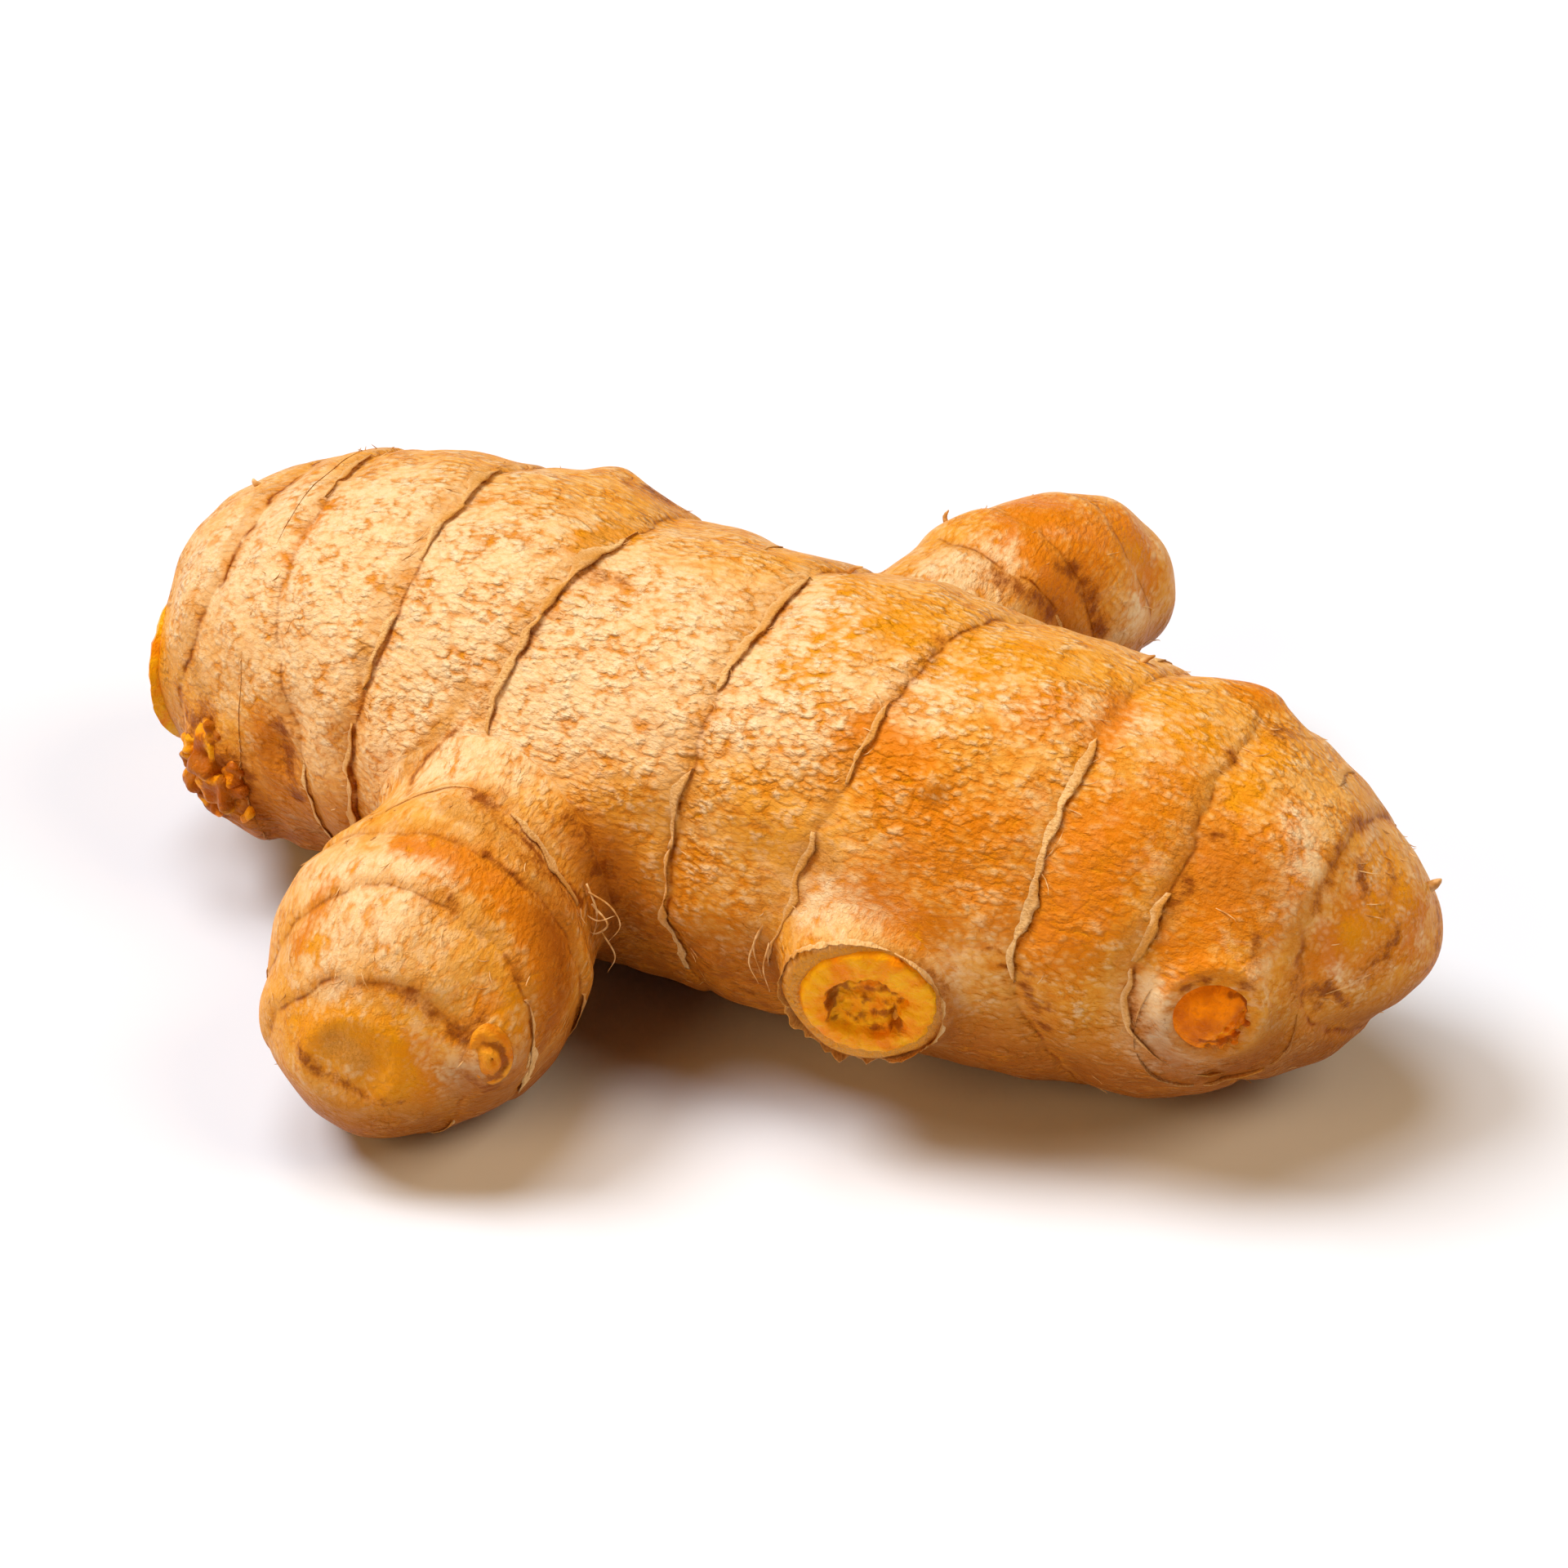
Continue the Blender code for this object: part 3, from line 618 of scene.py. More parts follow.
class Shader:
    """A material built from nodes: each helper adds one and returns its output."""

    def __init__(self, name):
        self.material = bpy.data.materials.new(name)
        self.material.use_nodes = True
        self.tree = self.material.node_tree
        self.surface = self.tree.nodes["Principled BSDF"]

    def plug(self, socket, value):
        if isinstance(value, bpy.types.NodeSocket):
            self.tree.links.new(value, socket)
        else:
            socket.default_value = value

    def node(self, kind, inputs, **settings):
        made = self.tree.nodes.new("ShaderNode" + kind)
        for name, value in settings.items():
            setattr(made, name, value)
        for key, value in inputs.items():
            self.plug(made.inputs[key], value)
        return made

    def value(self, name):
        return self.node("Attribute", {}, attribute_name=name).outputs["Fac"]

    def vector(self, name):
        return self.node("Attribute", {}, attribute_name=name).outputs["Vector"]

    def place(self):
        """The point's place in millimetres."""
        coords = self.node("TexCoord", {}).outputs["Object"]
        scaled = self.node("VectorMath", {0: coords, "Scale": 1 / MM}, operation="SCALE")
        return scaled.outputs[0]

    def math(self, operation, *values):
        return self.node("Math", dict(enumerate(values)), operation=operation).outputs[0]

    def plus(self, a, b):
        return self.math("ADD", a, b)

    def minus(self, a, b):
        return self.math("SUBTRACT", a, b)

    def times(self, a, b):
        return self.math("MULTIPLY", a, b)

    def line(self, value, slope, start):
        """A straight line: the start where the value is 0, rising by the slope."""
        return self.math("MULTIPLY_ADD", value, slope, start)

    def step(self, value, low, high):
        """0 below low, 1 above high, and a smooth rise between them."""
        inputs = {"Value": value, "From Min": low, "From Max": high}
        return self.node("MapRange", inputs, interpolation_type="SMOOTHSTEP").outputs[0]

    def mix(self, share, a, b, most=1.0):
        """From colour a, where the share is 0, most of the way to colour b, where it is 1."""
        inputs = {0: share if most == 1.0 else self.times(share, most), 6: a, 7: b}
        return self.node("Mix", inputs, data_type="RGBA").outputs[2]

    def noise(self, vector, size, detail=3.0, roughness=0.55, distortion=0.0):
        inputs = {"Vector": vector, "Scale": 1 / size, "Detail": detail}
        inputs |= {"Roughness": roughness, "Distortion": distortion}
        return self.node("TexNoise", inputs).outputs["Fac"]

    def cells(self, vector, size):
        """Distance to the middle of the nearest of many cells of the given size."""
        return self.node("TexVoronoi", {"Vector": vector, "Scale": 1 / size}).outputs["Distance"]

    def warped(self, vector, size, amount):
        """The vector pushed about by noise of the given size."""
        inputs = {"Vector": vector, "Scale": 1 / size, "Detail": 2.0}
        push = self.node("TexNoise", inputs).outputs["Color"]
        centred = self.node("VectorMath", {0: push, 1: (0.5, 0.5, 0.5)}, operation="SUBTRACT")
        scaled = self.node("VectorMath", {0: centred.outputs[0], "Scale": amount}, operation="SCALE")
        return self.node("VectorMath", {0: vector, 1: scaled.outputs[0]}).outputs[0]

    def bell(self, value, centre, width):
        """1 where the value is at the centre, fading over the width."""
        away = self.math("DIVIDE", self.minus(value, centre), width)
        return self.math("EXPONENT", self.times(self.math("POWER", away, 2.0), -1.0))

    def finish(self, colour, roughness, shine, height, depth):
        """The material, with its colour and shine set and the height raised by the depth."""
        bump = self.node("Bump", {"Height": height, "Distance": depth * MM}).outputs[0]
        inputs = {"Base Color": colour, "Roughness": roughness, "Specular IOR Level": shine}
        for name, value in (inputs | {"Specular Tint": GLOSS, "Normal": bump}).items():
            self.plug(self.surface.inputs[name], value)
        return self.material


CREAM = (0.91, 0.76, 0.50, 1)
TAN = (0.80, 0.43, 0.10, 1)
WARM = (0.78, 0.36, 0.04, 1)
SHADE = (0.31, 0.08, 0.008, 1)
VALLEY = (0.66, 0.23, 0.014, 1)
ORANGE = (0.68, 0.195, 0.002, 1)
ORANGE_CREST = (0.80, 0.34, 0.02, 1)
YELLOW = (0.86, 0.40, 0.006, 1)
PARCHMENT = (0.52, 0.23, 0.035, 1)
PAPER = (0.66, 0.31, 0.06, 1)
PAPER_PALE = (0.86, 0.57, 0.25, 1)
CREASE_COLOUR = (0.27, 0.055, 0.004, 1)
# Dark red-brown of stains, also used as painted shade in the folds between limbs and between the bud's
# scales.
STAIN_AND_SHADE = (0.24, 0.052, 0.004, 1)
FLESH = (0.97, 0.28, 0.001, 1)
FLESH_PALE = (1.0, 0.49, 0.004, 1)
FLESH_DEEP = (0.62, 0.14, 0.001, 1)
FLESH_DARK = (0.30, 0.055, 0.002, 1)
GLOSS = (1.0, 0.66, 0.33, 1)  # tint of every highlight


def skin_material():
    """The skin: pebbled and wrinkled, with its colours laid on one over another."""
    s = Shader("turmeric_skin")
    place = s.place()
    gap = s.value("gap")
    bare = s.value("bare")
    broad = s.noise(place, 6.0, 2.0)
    middle = s.noise(place, 1.8, 3.0)

    # Pebbles, clumps and wrinkles, drawn along the limb that the point lies on.
    finger = s.value("finger")
    turned = s.math("GREATER_THAN", finger, 0.5)
    inputs = {0: turned, 4: s.vector("grown"), 5: s.vector("grown_finger")}
    grown = s.node("Mix", inputs, data_type="VECTOR").outputs[1]
    pushed = s.warped(grown, 0.9, 0.55)
    pebbles = s.times(s.math("POWER", s.cells(pushed, 0.37), 1.7), -1.15)
    clumps = s.minus(s.times(s.noise(grown, 0.8, 2.0), 1.6), 1.07)
    wrinkles = s.times(s.noise(grown, 0.28, 2.0, 0.6), 1.35)
    height = s.plus(s.plus(pebbles, clumps), s.plus(wrinkles, 0.68))
    fibres = s.noise(grown, 0.16, 2.0, 0.6, 1.0)
    rugged = s.line(s.step(middle, 0.36, 0.64), 0.6, 0.4)
    rugged = s.times(rugged, s.line(bare, -0.95, 1.0))
    crest = s.times(s.step(height, 0.70, 1.25), rugged)
    low = s.times(s.step(height, 0.72, 0.25), rugged)

    # Cream crests on tan ground with brown valleys, and bare skin torn into cream patches.
    uneven = s.minus(s.times(middle, 0.9), 0.5)
    pale = s.step(s.plus(s.value("pale"), s.minus(s.times(broad, 0.9), 0.45)), 0.0, 0.85)
    streaks = s.step(fibres, 0.35, 0.7)
    ground = s.mix(s.step(broad, 0.40, 0.62), WARM, TAN, 0.5)
    ground = s.mix(s.times(pale, s.line(streaks, 0.25, 0.5)), ground, CREAM)
    ground = s.mix(s.times(low, s.line(pale, -0.2, 0.85)), ground, VALLEY)
    ground = s.mix(s.times(crest, s.line(pale, 0.4, 0.55)), ground, CREAM)
    patches = s.noise(grown, 1.2, 4.0, 0.62, 0.5)
    ground = s.mix(s.times(s.step(patches, 0.50, 0.62), s.times(bare, 0.55)), ground, CREAM)
    ground = s.mix(s.times(s.step(patches, 0.42, 0.34), s.times(bare, 0.5)), ground, VALLEY)
    crack = s.bell(s.noise(grown, 1.5, 4.0, 0.62), 0.5, 0.006)
    crack = s.times(crack, s.times(s.step(middle, 0.5, 0.6), 0.5))
    ground = s.mix(crack, ground, CREASE_COLOUR)

    # Orange and yellow where the strokes lie, stronger in the valleys.
    bumpy = s.times(s.minus(0.85, height), 0.45)
    orange = s.mix(crest, ORANGE, ORANGE_CREST, 0.6)
    share = s.plus(s.plus(s.value("orange"), uneven), bumpy)
    colour = s.mix(s.step(share, 0.0, 0.9), ground, orange, 0.9)
    share = s.plus(s.plus(s.value("yellow"), uneven), bumpy)
    colour = s.mix(s.step(share, 0.1, 0.8), colour, s.mix(middle, ORANGE, YELLOW), 0.9)

    # Papery skin just before each leaf ring, and parchment where the strokes lie.
    paper = s.times(s.value("paper"), s.plus(middle, 0.5))
    papery = s.step(s.plus(gap, paper), -0.3, 0.5)
    papery = s.times(papery, s.step(gap, 0.15, 0.0))
    papery = s.times(papery, s.step(s.value("paper"), 0.2, 0.7))
    parchment = s.plus(s.value("parchment"), uneven)
    papery = s.math("MAXIMUM", s.times(papery, 0.6), s.step(parchment, 0.2, 0.7))
    sheet = s.mix(s.step(fibres, 0.42, 0.62), PAPER, PARCHMENT)
    sheet = s.mix(crest, sheet, PAPER_PALE, 0.6)
    colour = s.mix(papery, colour, sheet, 0.8)

    # Painted warm shade on the undersides and beside the fingers, where shade falls.
    under = s.math("MAXIMUM", s.value("under"), s.value("shade"))
    under = s.times(under, s.line(crest, -0.3, 0.9))
    under = s.times(under, s.line(pale, -0.5, 1.0))
    colour = s.mix(s.step(under, 0.0, 0.5), colour, VALLEY, 0.5)
    colour = s.mix(under, colour, SHADE)

    # The dark line past each leaf ring, with a softer brown round it.
    ring = s.bell(gap, 0.1, 0.12)
    halo = s.times(s.bell(gap, 0.15, 0.5), 0.7)
    strength = s.times(s.value("dark"), s.step(middle, 0.36, 0.58))
    colour = s.mix(s.times(halo, strength), colour, VALLEY)
    colour = s.mix(s.times(ring, strength), colour, CREASE_COLOUR)

    # Ragged brown stains, two of whose strokes paint shade beside the front finger and low on the body,
    # and painted shade in the downward folds between limbs.
    ragged = s.minus(s.times(s.noise(grown, 0.7, 4.0, 0.7), 2.2), 1.15)
    speck = s.plus(s.plus(s.value("brown"), uneven), ragged)
    colour = s.mix(s.step(speck, -0.1, 0.6), colour, VALLEY, 0.65)
    colour = s.mix(s.step(speck, 0.25, 1.0), colour, STAIN_AND_SHADE, 0.85)
    colour = s.mix(s.step(s.value("painted_fold_shade"), 0.15, 0.5), colour, STAIN_AND_SHADE, 0.45)

    # Torn fibre round the edges of the breaks.
    flesh = s.mix(s.step(fibres, 0.4, 0.65), PAPER, ORANGE_CREST)
    colour = s.mix(s.step(s.value("flesh"), 0.45, 0.75), colour, flesh)

    # It is a little shinier where it is bare and pale, and smooth along the finger's seam.
    rough = s.plus(s.line(bare, -0.06, 0.26), s.times(fibres, 0.28))
    shine = s.line(s.times(crest, pale), 0.35, 0.10)
    seam = s.line(s.bell(finger, 0.5, 0.06), -1.0, 1.0)
    deep = s.times(s.times(height, rugged), seam)
    relief = s.plus(deep, s.times(fibres, s.line(bare, 0.4, 0.25)))
    relief = s.minus(relief, s.times(s.times(ring, strength), 0.6))
    return s.finish(colour, rough, shine, relief, 0.19)


def leaf_material():
    """Dry leaf bases: thin, finely striped along the limb, darker towards the torn edge."""
    s = Shader("dry_leaf_base")
    grown = s.vector("grown")
    stripes = s.noise(grown, 0.13, 3.0, 0.6)
    place = s.place()
    blotches = s.noise(place, 1.4, 3.0)
    patches = s.plus(blotches, s.times(s.noise(place, 6.0, 1.0), 1.4))
    colour = s.mix(s.step(patches, 1.0, 1.45), PAPER, PAPER_PALE)
    colour = s.mix(s.step(stripes, 0.58, 0.35), colour, PARCHMENT, 0.6)
    edge = s.plus(s.value("edge"), s.minus(blotches, 0.5))
    colour = s.mix(s.step(edge, 0.80, 0.25), colour, s.mix(stripes, TAN, CREAM), 0.85)
    colour = s.mix(s.step(edge, 0.85, 1.1), colour, STAIN_AND_SHADE, 0.4)
    return s.finish(colour, 0.6, 0.3, s.plus(stripes, blotches), 0.12)


def flesh_material(name, dark, bright, pale):
    """Cut or torn flesh: wet, grained, darker in its own darker parts and where shade is painted into
    its dents.
    """
    s = Shader(name)
    place = s.place()
    blotches = s.noise(place, 1.6, 3.0)
    strands = s.noise(s.warped(place, 0.8, 0.8), 0.35, 4.0, 0.6)
    colour = s.mix(s.step(blotches, 0.3, 0.65), bright, pale)
    colour = s.mix(s.step(strands, 0.5, 0.3), colour, bright, 0.5)
    # Where the value kept at its corners is high the flesh is darker: partly its own darker tone,
    # partly painted shade in its dents, its cracks and its sunken core's upper part. Where the value is
    # low the flesh is paler.
    hollow = s.plus(s.value("hollow"), s.minus(strands, 0.5))
    colour = s.mix(s.step(hollow, -0.3, -0.8), colour, FLESH_PALE)
    colour = s.mix(s.step(hollow, 0.45, 0.95), colour, dark, 0.8)
    return s.finish(colour, 0.32, 0.2, s.plus(strands, blotches), 0.16)


def fibre_material():
    s = Shader("dry_fibre")
    along = s.noise(s.place(), 0.8, 2.0)
    s.plug(s.surface.inputs["Base Color"], s.mix(s.step(along, 0.35, 0.65), PARCHMENT, PAPER_PALE))
    s.surface.inputs["Roughness"].default_value = 0.55
    return s.material


def spot(limb, turns, along):
    """Points on a limb's own skin at the given angles and distances along it."""
    reach = (limb.centres - limb.centres[0]) @ limb.ahead
    centres = np.stack([np.interp(along, reach, c) for c in limb.centres.T], -1)
    centres = centres + np.maximum(along - reach[-1], 0)[..., None] * limb.ahead
    radii = np.interp(along, reach, limb.radii)
    angle = turns[..., None] * np.pi / 4
    return centres - radii[..., None] * (np.sin(angle) * limb.side + np.cos(angle) * limb.up)


def on_ring(limb, ring, turns):
    """How far along its limb a ring lies at each angle, ragged as the skin draws it."""
    along = round_limb(limb.rings, turns)[ring]
    for _ in range(2):
        points, out, _, _ = settle(spot(limb, turns, along))
        along = along - limb.past_rings(points, out)[ring]
    return along


# Dry leaf bases: (limb, ring, first and last angle, width, how far the free edge lifts).
LEAF_BASES = [
    (0, 0, (1.2, 2.6), 2.0, 0.25),
    (0, 0, (3.3, 4.4), 1.4, 0.25),
    (0, 1, (1.2, 2.1), 0.9, 0.2),
    (0, 1, (3.7, 4.3), 0.9, 0.2),
    (0, 2, (1.0, 2.4), 1.0, 0.35),
    (0, 2, (2.6, 3.05), 1.5, 0.3),
    (0, 2, (3.4, 4.3), 1.4, 0.25),
    (0, 3, (2.55, 3.3), 1.0, 0.3),
    (0, 3, (3.3, 4.2), 1.5, 0.3),
    (0, 4, (1.3, 2.3), 0.9, 0.4),
    (0, 4, (2.25, 2.75), 1.1, 0.45),
    (0, 4, (3.2, 4.2), 1.1, 0.3),
    (0, 5, (1.7, 2.6), 0.9, 0.3),
    (0, 5, (2.9, 3.4), 0.8, 0.3),
    (0, 6, (2.05, 2.95), 0.8, 0.3),
    (0, 6, (2.8, 3.6), 0.8, 0.3),
    (0, 7, (1.6, 2.3), 0.8, 0.3),
    (0, 7, (2.35, 2.8), 0.7, 0.3),
    (1, 0, (3.3, 4.1), 0.8, 0.2),
    (1, 0, (4.5, 5.6), 1.1, 0.25),
    (1, 1, (6.3, 7.2), 1.5, 0.4),
    (1, 2, (5.5, 6.6), 0.9, 0.3),
    (2, 0, (1.4, 2.4), 0.5, 0.3),
]
# Loose flakes: (limb, angle, place along it, length round the limb in angles, width, lift).
FLAKES = [
    (3, 5.1, 8.5, 1.1, 0.6, 2.6),
    (3, 4.0, 8.4, 1.0, 0.5, 1.6),
    (3, 2.9, 8.5, 1.2, 0.7, 2.0),
    (3, 2.0, 8.5, 0.9, 0.7, 2.6),
    (3, 1.2, 8.4, 1.1, 0.7, 2.8),
    (3, 0.3, 8.4, 1.0, 0.7, 2.6),
    (3, 7.3, 8.4, 0.9, 0.7, 2.8),
    (3, 6.5, 8.4, 0.8, 0.6, 2.4),
    (3, 5.9, 8.4, 0.6, 0.6, 2.2),
    (0, 4.5, 28.5, 0.3, 1.2, 0.4),
    (0, 4.9, 52.0, 0.35, 1.2, 0.9),
    (0, 4.35, 63.5, 0.6, 1.4, 0.5),
    (0, 5.6, 66.0, 0.7, 1.2, 0.6),
    (1, 2.0, 17.0, 0.8, 1.3, 0.5),
    (1, 1.8, 21.0, 0.7, 0.8, 0.4),
    (1, 6.2, 15.5, 0.7, 1.2, 0.7),
    (1, 7.0, 20.0, 0.6, 1.0, 0.5),
    (6, 2.2, 3.4, 1.1, 0.6, 1.0),
    (6, 0.9, 3.6, 1.3, 0.6, 1.8),
    (6, 7.6, 3.5, 1.0, 0.5, 1.6),
    (6, 6.5, 3.4, 1.0, 0.6, 1.4),
]
SHEET = 0.06  # thickness of a dry leaf base
ACROSS = 8  # points across it
OVERHANG = 0.11
SPACING = 0.28  # between the points along it


def leaf_base(limb, along, turns, width, lift, seed):
    """The outer and inner corners of one leaf base: rows along it, points across it."""
    count = len(turns)
    ends = np.sin(np.pi * np.linspace(0.02, 0.98, count)) ** 0.55
    share = np.linspace(0, 1, ACROSS)
    ragged = grain(np.stack([turns * 6, along, turns * 0], 1), 1.0, seed)
    ragged += 0.7 * grain(np.stack([turns * 20, along, turns * 0], 1), 1.0, seed + 9)
    base = along - width * (ends + 0.8 * ragged)
    tip = along + OVERHANG * ends * (1 + 2.6 * ragged)
    place = base[:, None] + (tip - base)[:, None] * share
    angles = np.repeat(turns, ACROSS)
    points, out, shares, _ = settle(spot(limb, angles, place.ravel()))
    held = np.minimum(place, along[:, None] - 0.35).ravel()
    under, under_out, under_shares, _ = settle(spot(limb, angles, held))
    raised = raise_relief(under, under_out, under_shares)[0]
    height = ((raised - under) * under_out).sum(1)
    curl = (1 + 0.8 * ragged)[:, None] * ends[:, None] * (lift * share**3)
    rise = height + (0.13 * curl - 0.16 * (1 - share) ** 2 + 0.03 * ends[:, None]).ravel()
    outer = points + rise[:, None] * out
    return outer, outer - SHEET * out, limb.grown(points), np.tile(share, count)


def closed_rows(rows, columns):
    """Faces joining each closed row of corners to the next, with both ends closed."""
    number = np.arange(rows * columns).reshape(rows, columns)
    beside = np.roll(number, -1, 1)
    quads = np.stack([number[:-1], beside[:-1], beside[1:], number[1:]], -1).reshape(-1, 4)
    return list(quads) + [number[0], number[-1][::-1]]


def closed_sheet(outer, inner, columns):
    """Corners and faces of a thin closed sheet with the given corners on its two sides."""
    rows = len(outer) // columns
    number = np.arange(rows * columns).reshape(rows, columns)
    a, b, c, d = number[:-1, :-1], number[1:, :-1], number[1:, 1:], number[:-1, 1:]
    top = np.stack([a, b, c, d], -1).reshape(-1, 4)
    border = np.concatenate([number[0, :], number[1:, -1], number[-1, -2::-1], number[-2:0:-1, 0]])
    after = np.roll(border, -1)
    side = np.stack([border, after, after + len(outer), border + len(outer)], 1)
    bottom = top[:, ::-1] + len(outer)
    return np.vstack([outer, inner]), np.vstack([top, bottom, side])


def piece(name, parts, material, slot, **values):
    """One object made of several meshes (corners, faces), with values kept at its corners."""
    corners = np.vstack([part[0] for part in parts])
    starts = np.cumsum([0] + [len(part[0]) for part in parts[:-1]])
    faces = [face + start for part, start in zip(parts, starts) for face in part[1]]
    mesh = bpy.data.meshes.new(name)
    mesh.from_pydata(to_frame(corners).tolist(), [], [face.tolist() for face in faces])
    shape = bmesh.new()
    shape.from_mesh(mesh)
    bmesh.ops.recalc_face_normals(shape, faces=shape.faces)
    shape.to_mesh(mesh)
    shape.free()
    for key, value in values.items():
        add_values(mesh, key, value)
    mesh.shade_smooth()
    mesh.materials.append(material)
    obj = link(bpy.data.objects.new(name, mesh))
    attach(obj, "root")
    return obj


def add_leaf_bases():
    parts = []
    grown = []
    edges = []
    strips = []
    for number, ring, (first, last), width, lift in LEAF_BASES:
        limb = LIMBS[number]
        length = abs(last - first) * np.pi / 4 * limb.radii.mean()
        turns = np.linspace(first, last, max(6, round(length / SPACING)))
        strips.append((limb, on_ring(limb, ring, turns), turns, width, lift))
    for number, turn, along, length, width, lift in FLAKES:
        limb = LIMBS[number]
        count = max(6, round(length * np.pi / 4 * limb.radii.mean() / SPACING))
        turns = np.linspace(turn - length / 2, turn + length / 2, count)
        strips.append((limb, np.full(count, along), turns, width, lift))
    for seed, strip in enumerate(strips):
        outer, inner, place, edge = leaf_base(*strip, 1.7 * seed)
        parts.append(closed_sheet(outer, inner, ACROSS))
        grown += [place, place]
        edges += [edge, edge]
    values = {"grown": np.vstack(grown), "edge": np.concatenate(edges)}
    piece("leaf_bases", parts, leaf_material(), "leaf_base", **values)


def disc(place, looks, wide, tall, profile, rings=34, steps=110):
    """A closed round of flesh facing the given way, raised by profile(share, angle, points)."""
    looks, across, upright = axes(looks)
    share = np.linspace(0.02, 1, rings)[:, None]
    angle = np.linspace(0, 2 * np.pi, steps, endpoint=False)[None, :]
    flat = (share * wide * np.cos(angle))[..., None] * across
    flat = flat + (share * tall * np.sin(angle))[..., None] * upright + np.array(place)
    share = np.broadcast_to(share, (rings, steps)).ravel()
    angle = np.broadcast_to(angle, (rings, steps)).ravel()
    flat = flat.reshape(-1, 3)
    height, hollow = profile(share, angle, flat)
    front = flat + height[:, None] * looks
    rim = np.array(place) + 0.8 * (flat[-steps:] - np.array(place)) - 0.9 * looks
    hollow = np.concatenate([hollow, np.ones(steps)])
    return (np.vstack([front, rim]), closed_rows(rings + 1, steps)), hollow


def torn_face(share, angle, points):
    """The stub's face: a smooth outer ring round a torn, sunken core."""
    x = share * np.cos(angle)
    y = share * np.sin(angle)
    core = np.hypot(x + 0.07, y + 0.10)
    reach = 0.50 + 0.05 * np.sin(5 * angle + 1) + 0.07 * grain(points, 0.7, 4.0)
    inside = 1 - smooth(core, reach - 0.04, reach + 0.03)
    floor = -0.75 + 0.60 * smooth(-y, -0.2, 0.55) + 0.22 * grain(points, 0.45, 8.0)
    shell = 0.40 * np.sin(np.pi * np.clip((share - 0.38) / 0.64, 0, 1)) ** 0.8
    shell = shell + 0.16 * grain(points, 1.3, 2.0) + 0.05 * np.sin(23 * angle + 2 * x)
    shell = shell - 0.8 * smooth(share, 0.86, 1.0)
    notch = np.exp(-(((x - 0.36) / 0.10) ** 2) - (((y + 0.36) / 0.13) ** 2))
    height = inside * floor + (1 - inside) * shell - 0.5 * notch
    steep = inside * (1 - smooth(core, reach - 0.30, reach - 0.05))
    # Painted shade: the core's upper part below its top wall, the notch at its lower right and the
    # crack along the core's upper edge are darkened.
    hollow = inside * smooth(y, 0.0, 0.45) * (1 - 0.5 * steep) + notch
    crack = np.exp(-(((core - reach) / 0.05) ** 2)) * smooth(y - 0.5 * x, -0.3, 0.2)
    hollow = hollow + 1.6 * crack + smooth(share, 0.97, 1.0)
    hollow = hollow + inside * (0.5 + 0.7 * grain(points, 0.5, 12.0))
    hollow = hollow + 0.4 * smooth(x - y, 0.2, 1.2) - 0.3 * smooth(y - x, 0.3, 1.0) * (1 - inside)
    hollow = hollow + 0.8 * smooth(share + 0.05 * grain(points, 0.6, 5.0), 0.88, 0.95)
    return height, np.clip(hollow, -1, 1)


def scar_face(share, angle, points):
    """The root scar: a smooth dome, torn at its lower right."""
    inner = share / 0.84
    x = inner * np.cos(angle)
    y = inner * np.sin(angle)
    torn = smooth(x - 0.8 * y, 0.45, 0.75)
    height = 0.50 * (1 - inner**2) - 0.30 * torn + 0.50 * torn * grain(points, 0.4, 6.0)
    # Painted shade in a notch near its upper right and in a gap along its rim on the torn right side;
    # the pale bits of the torn part are the flesh's own tone.
    notch = np.exp(-(((x - 0.40) / 0.22) ** 2) - (((y - 0.62) / 0.18) ** 2))
    gap = np.exp(-(((inner - 0.90) / 0.08) ** 2)) * smooth(x - 0.8 * y, -0.1, 0.4)
    hollow = notch + 1.2 * gap + 0.5 * smooth(inner, 0.97, 1.0) + 0.2 * torn
    hollow = hollow - 1.2 * torn * smooth(grain(points, 0.45, 3.0), 0.0, 0.3) * (1 - gap)
    return height, np.clip(hollow, -1, 1)


def snapped_face(share, angle, points):
    """The broken end: an outer ring and a core with a faint line between them."""
    line = np.exp(-(((share - 0.68) / 0.04) ** 2))
    height = 0.25 + 0.18 * grain(points, 2.2, 3.0) + 0.12 * grain(points, 0.7, 5.0)
    height = height - 0.12 * line - 0.4 * smooth(share, 0.93, 1.0)
    core = 1 - smooth(share, 0.60, 0.70)
    hollow = 0.5 * line + 0.35 * core + 0.2 * smooth(share, 0.97, 1.0)
    return height, np.clip(hollow, -1, 1)


def bud_face(share, angle, points):
    """The finger's bud: scales one inside another, with brown painted shade between the scales and
    towards its right side.
    """
    scales = np.sin(9 * share + 1.6 * np.cos(angle - 1) + 0.9 * grain(points, 0.8, 2.0))
    height = 0.75 - 0.75 * share**2 + 0.12 * scales - 0.2 * smooth(share, 0.85, 1.0)
    hollow = 0.45 - 0.45 * scales + 0.45 * share * np.cos(angle) + smooth(share, 0.85, 1.0)
    return height, np.clip(hollow, 0, 1)


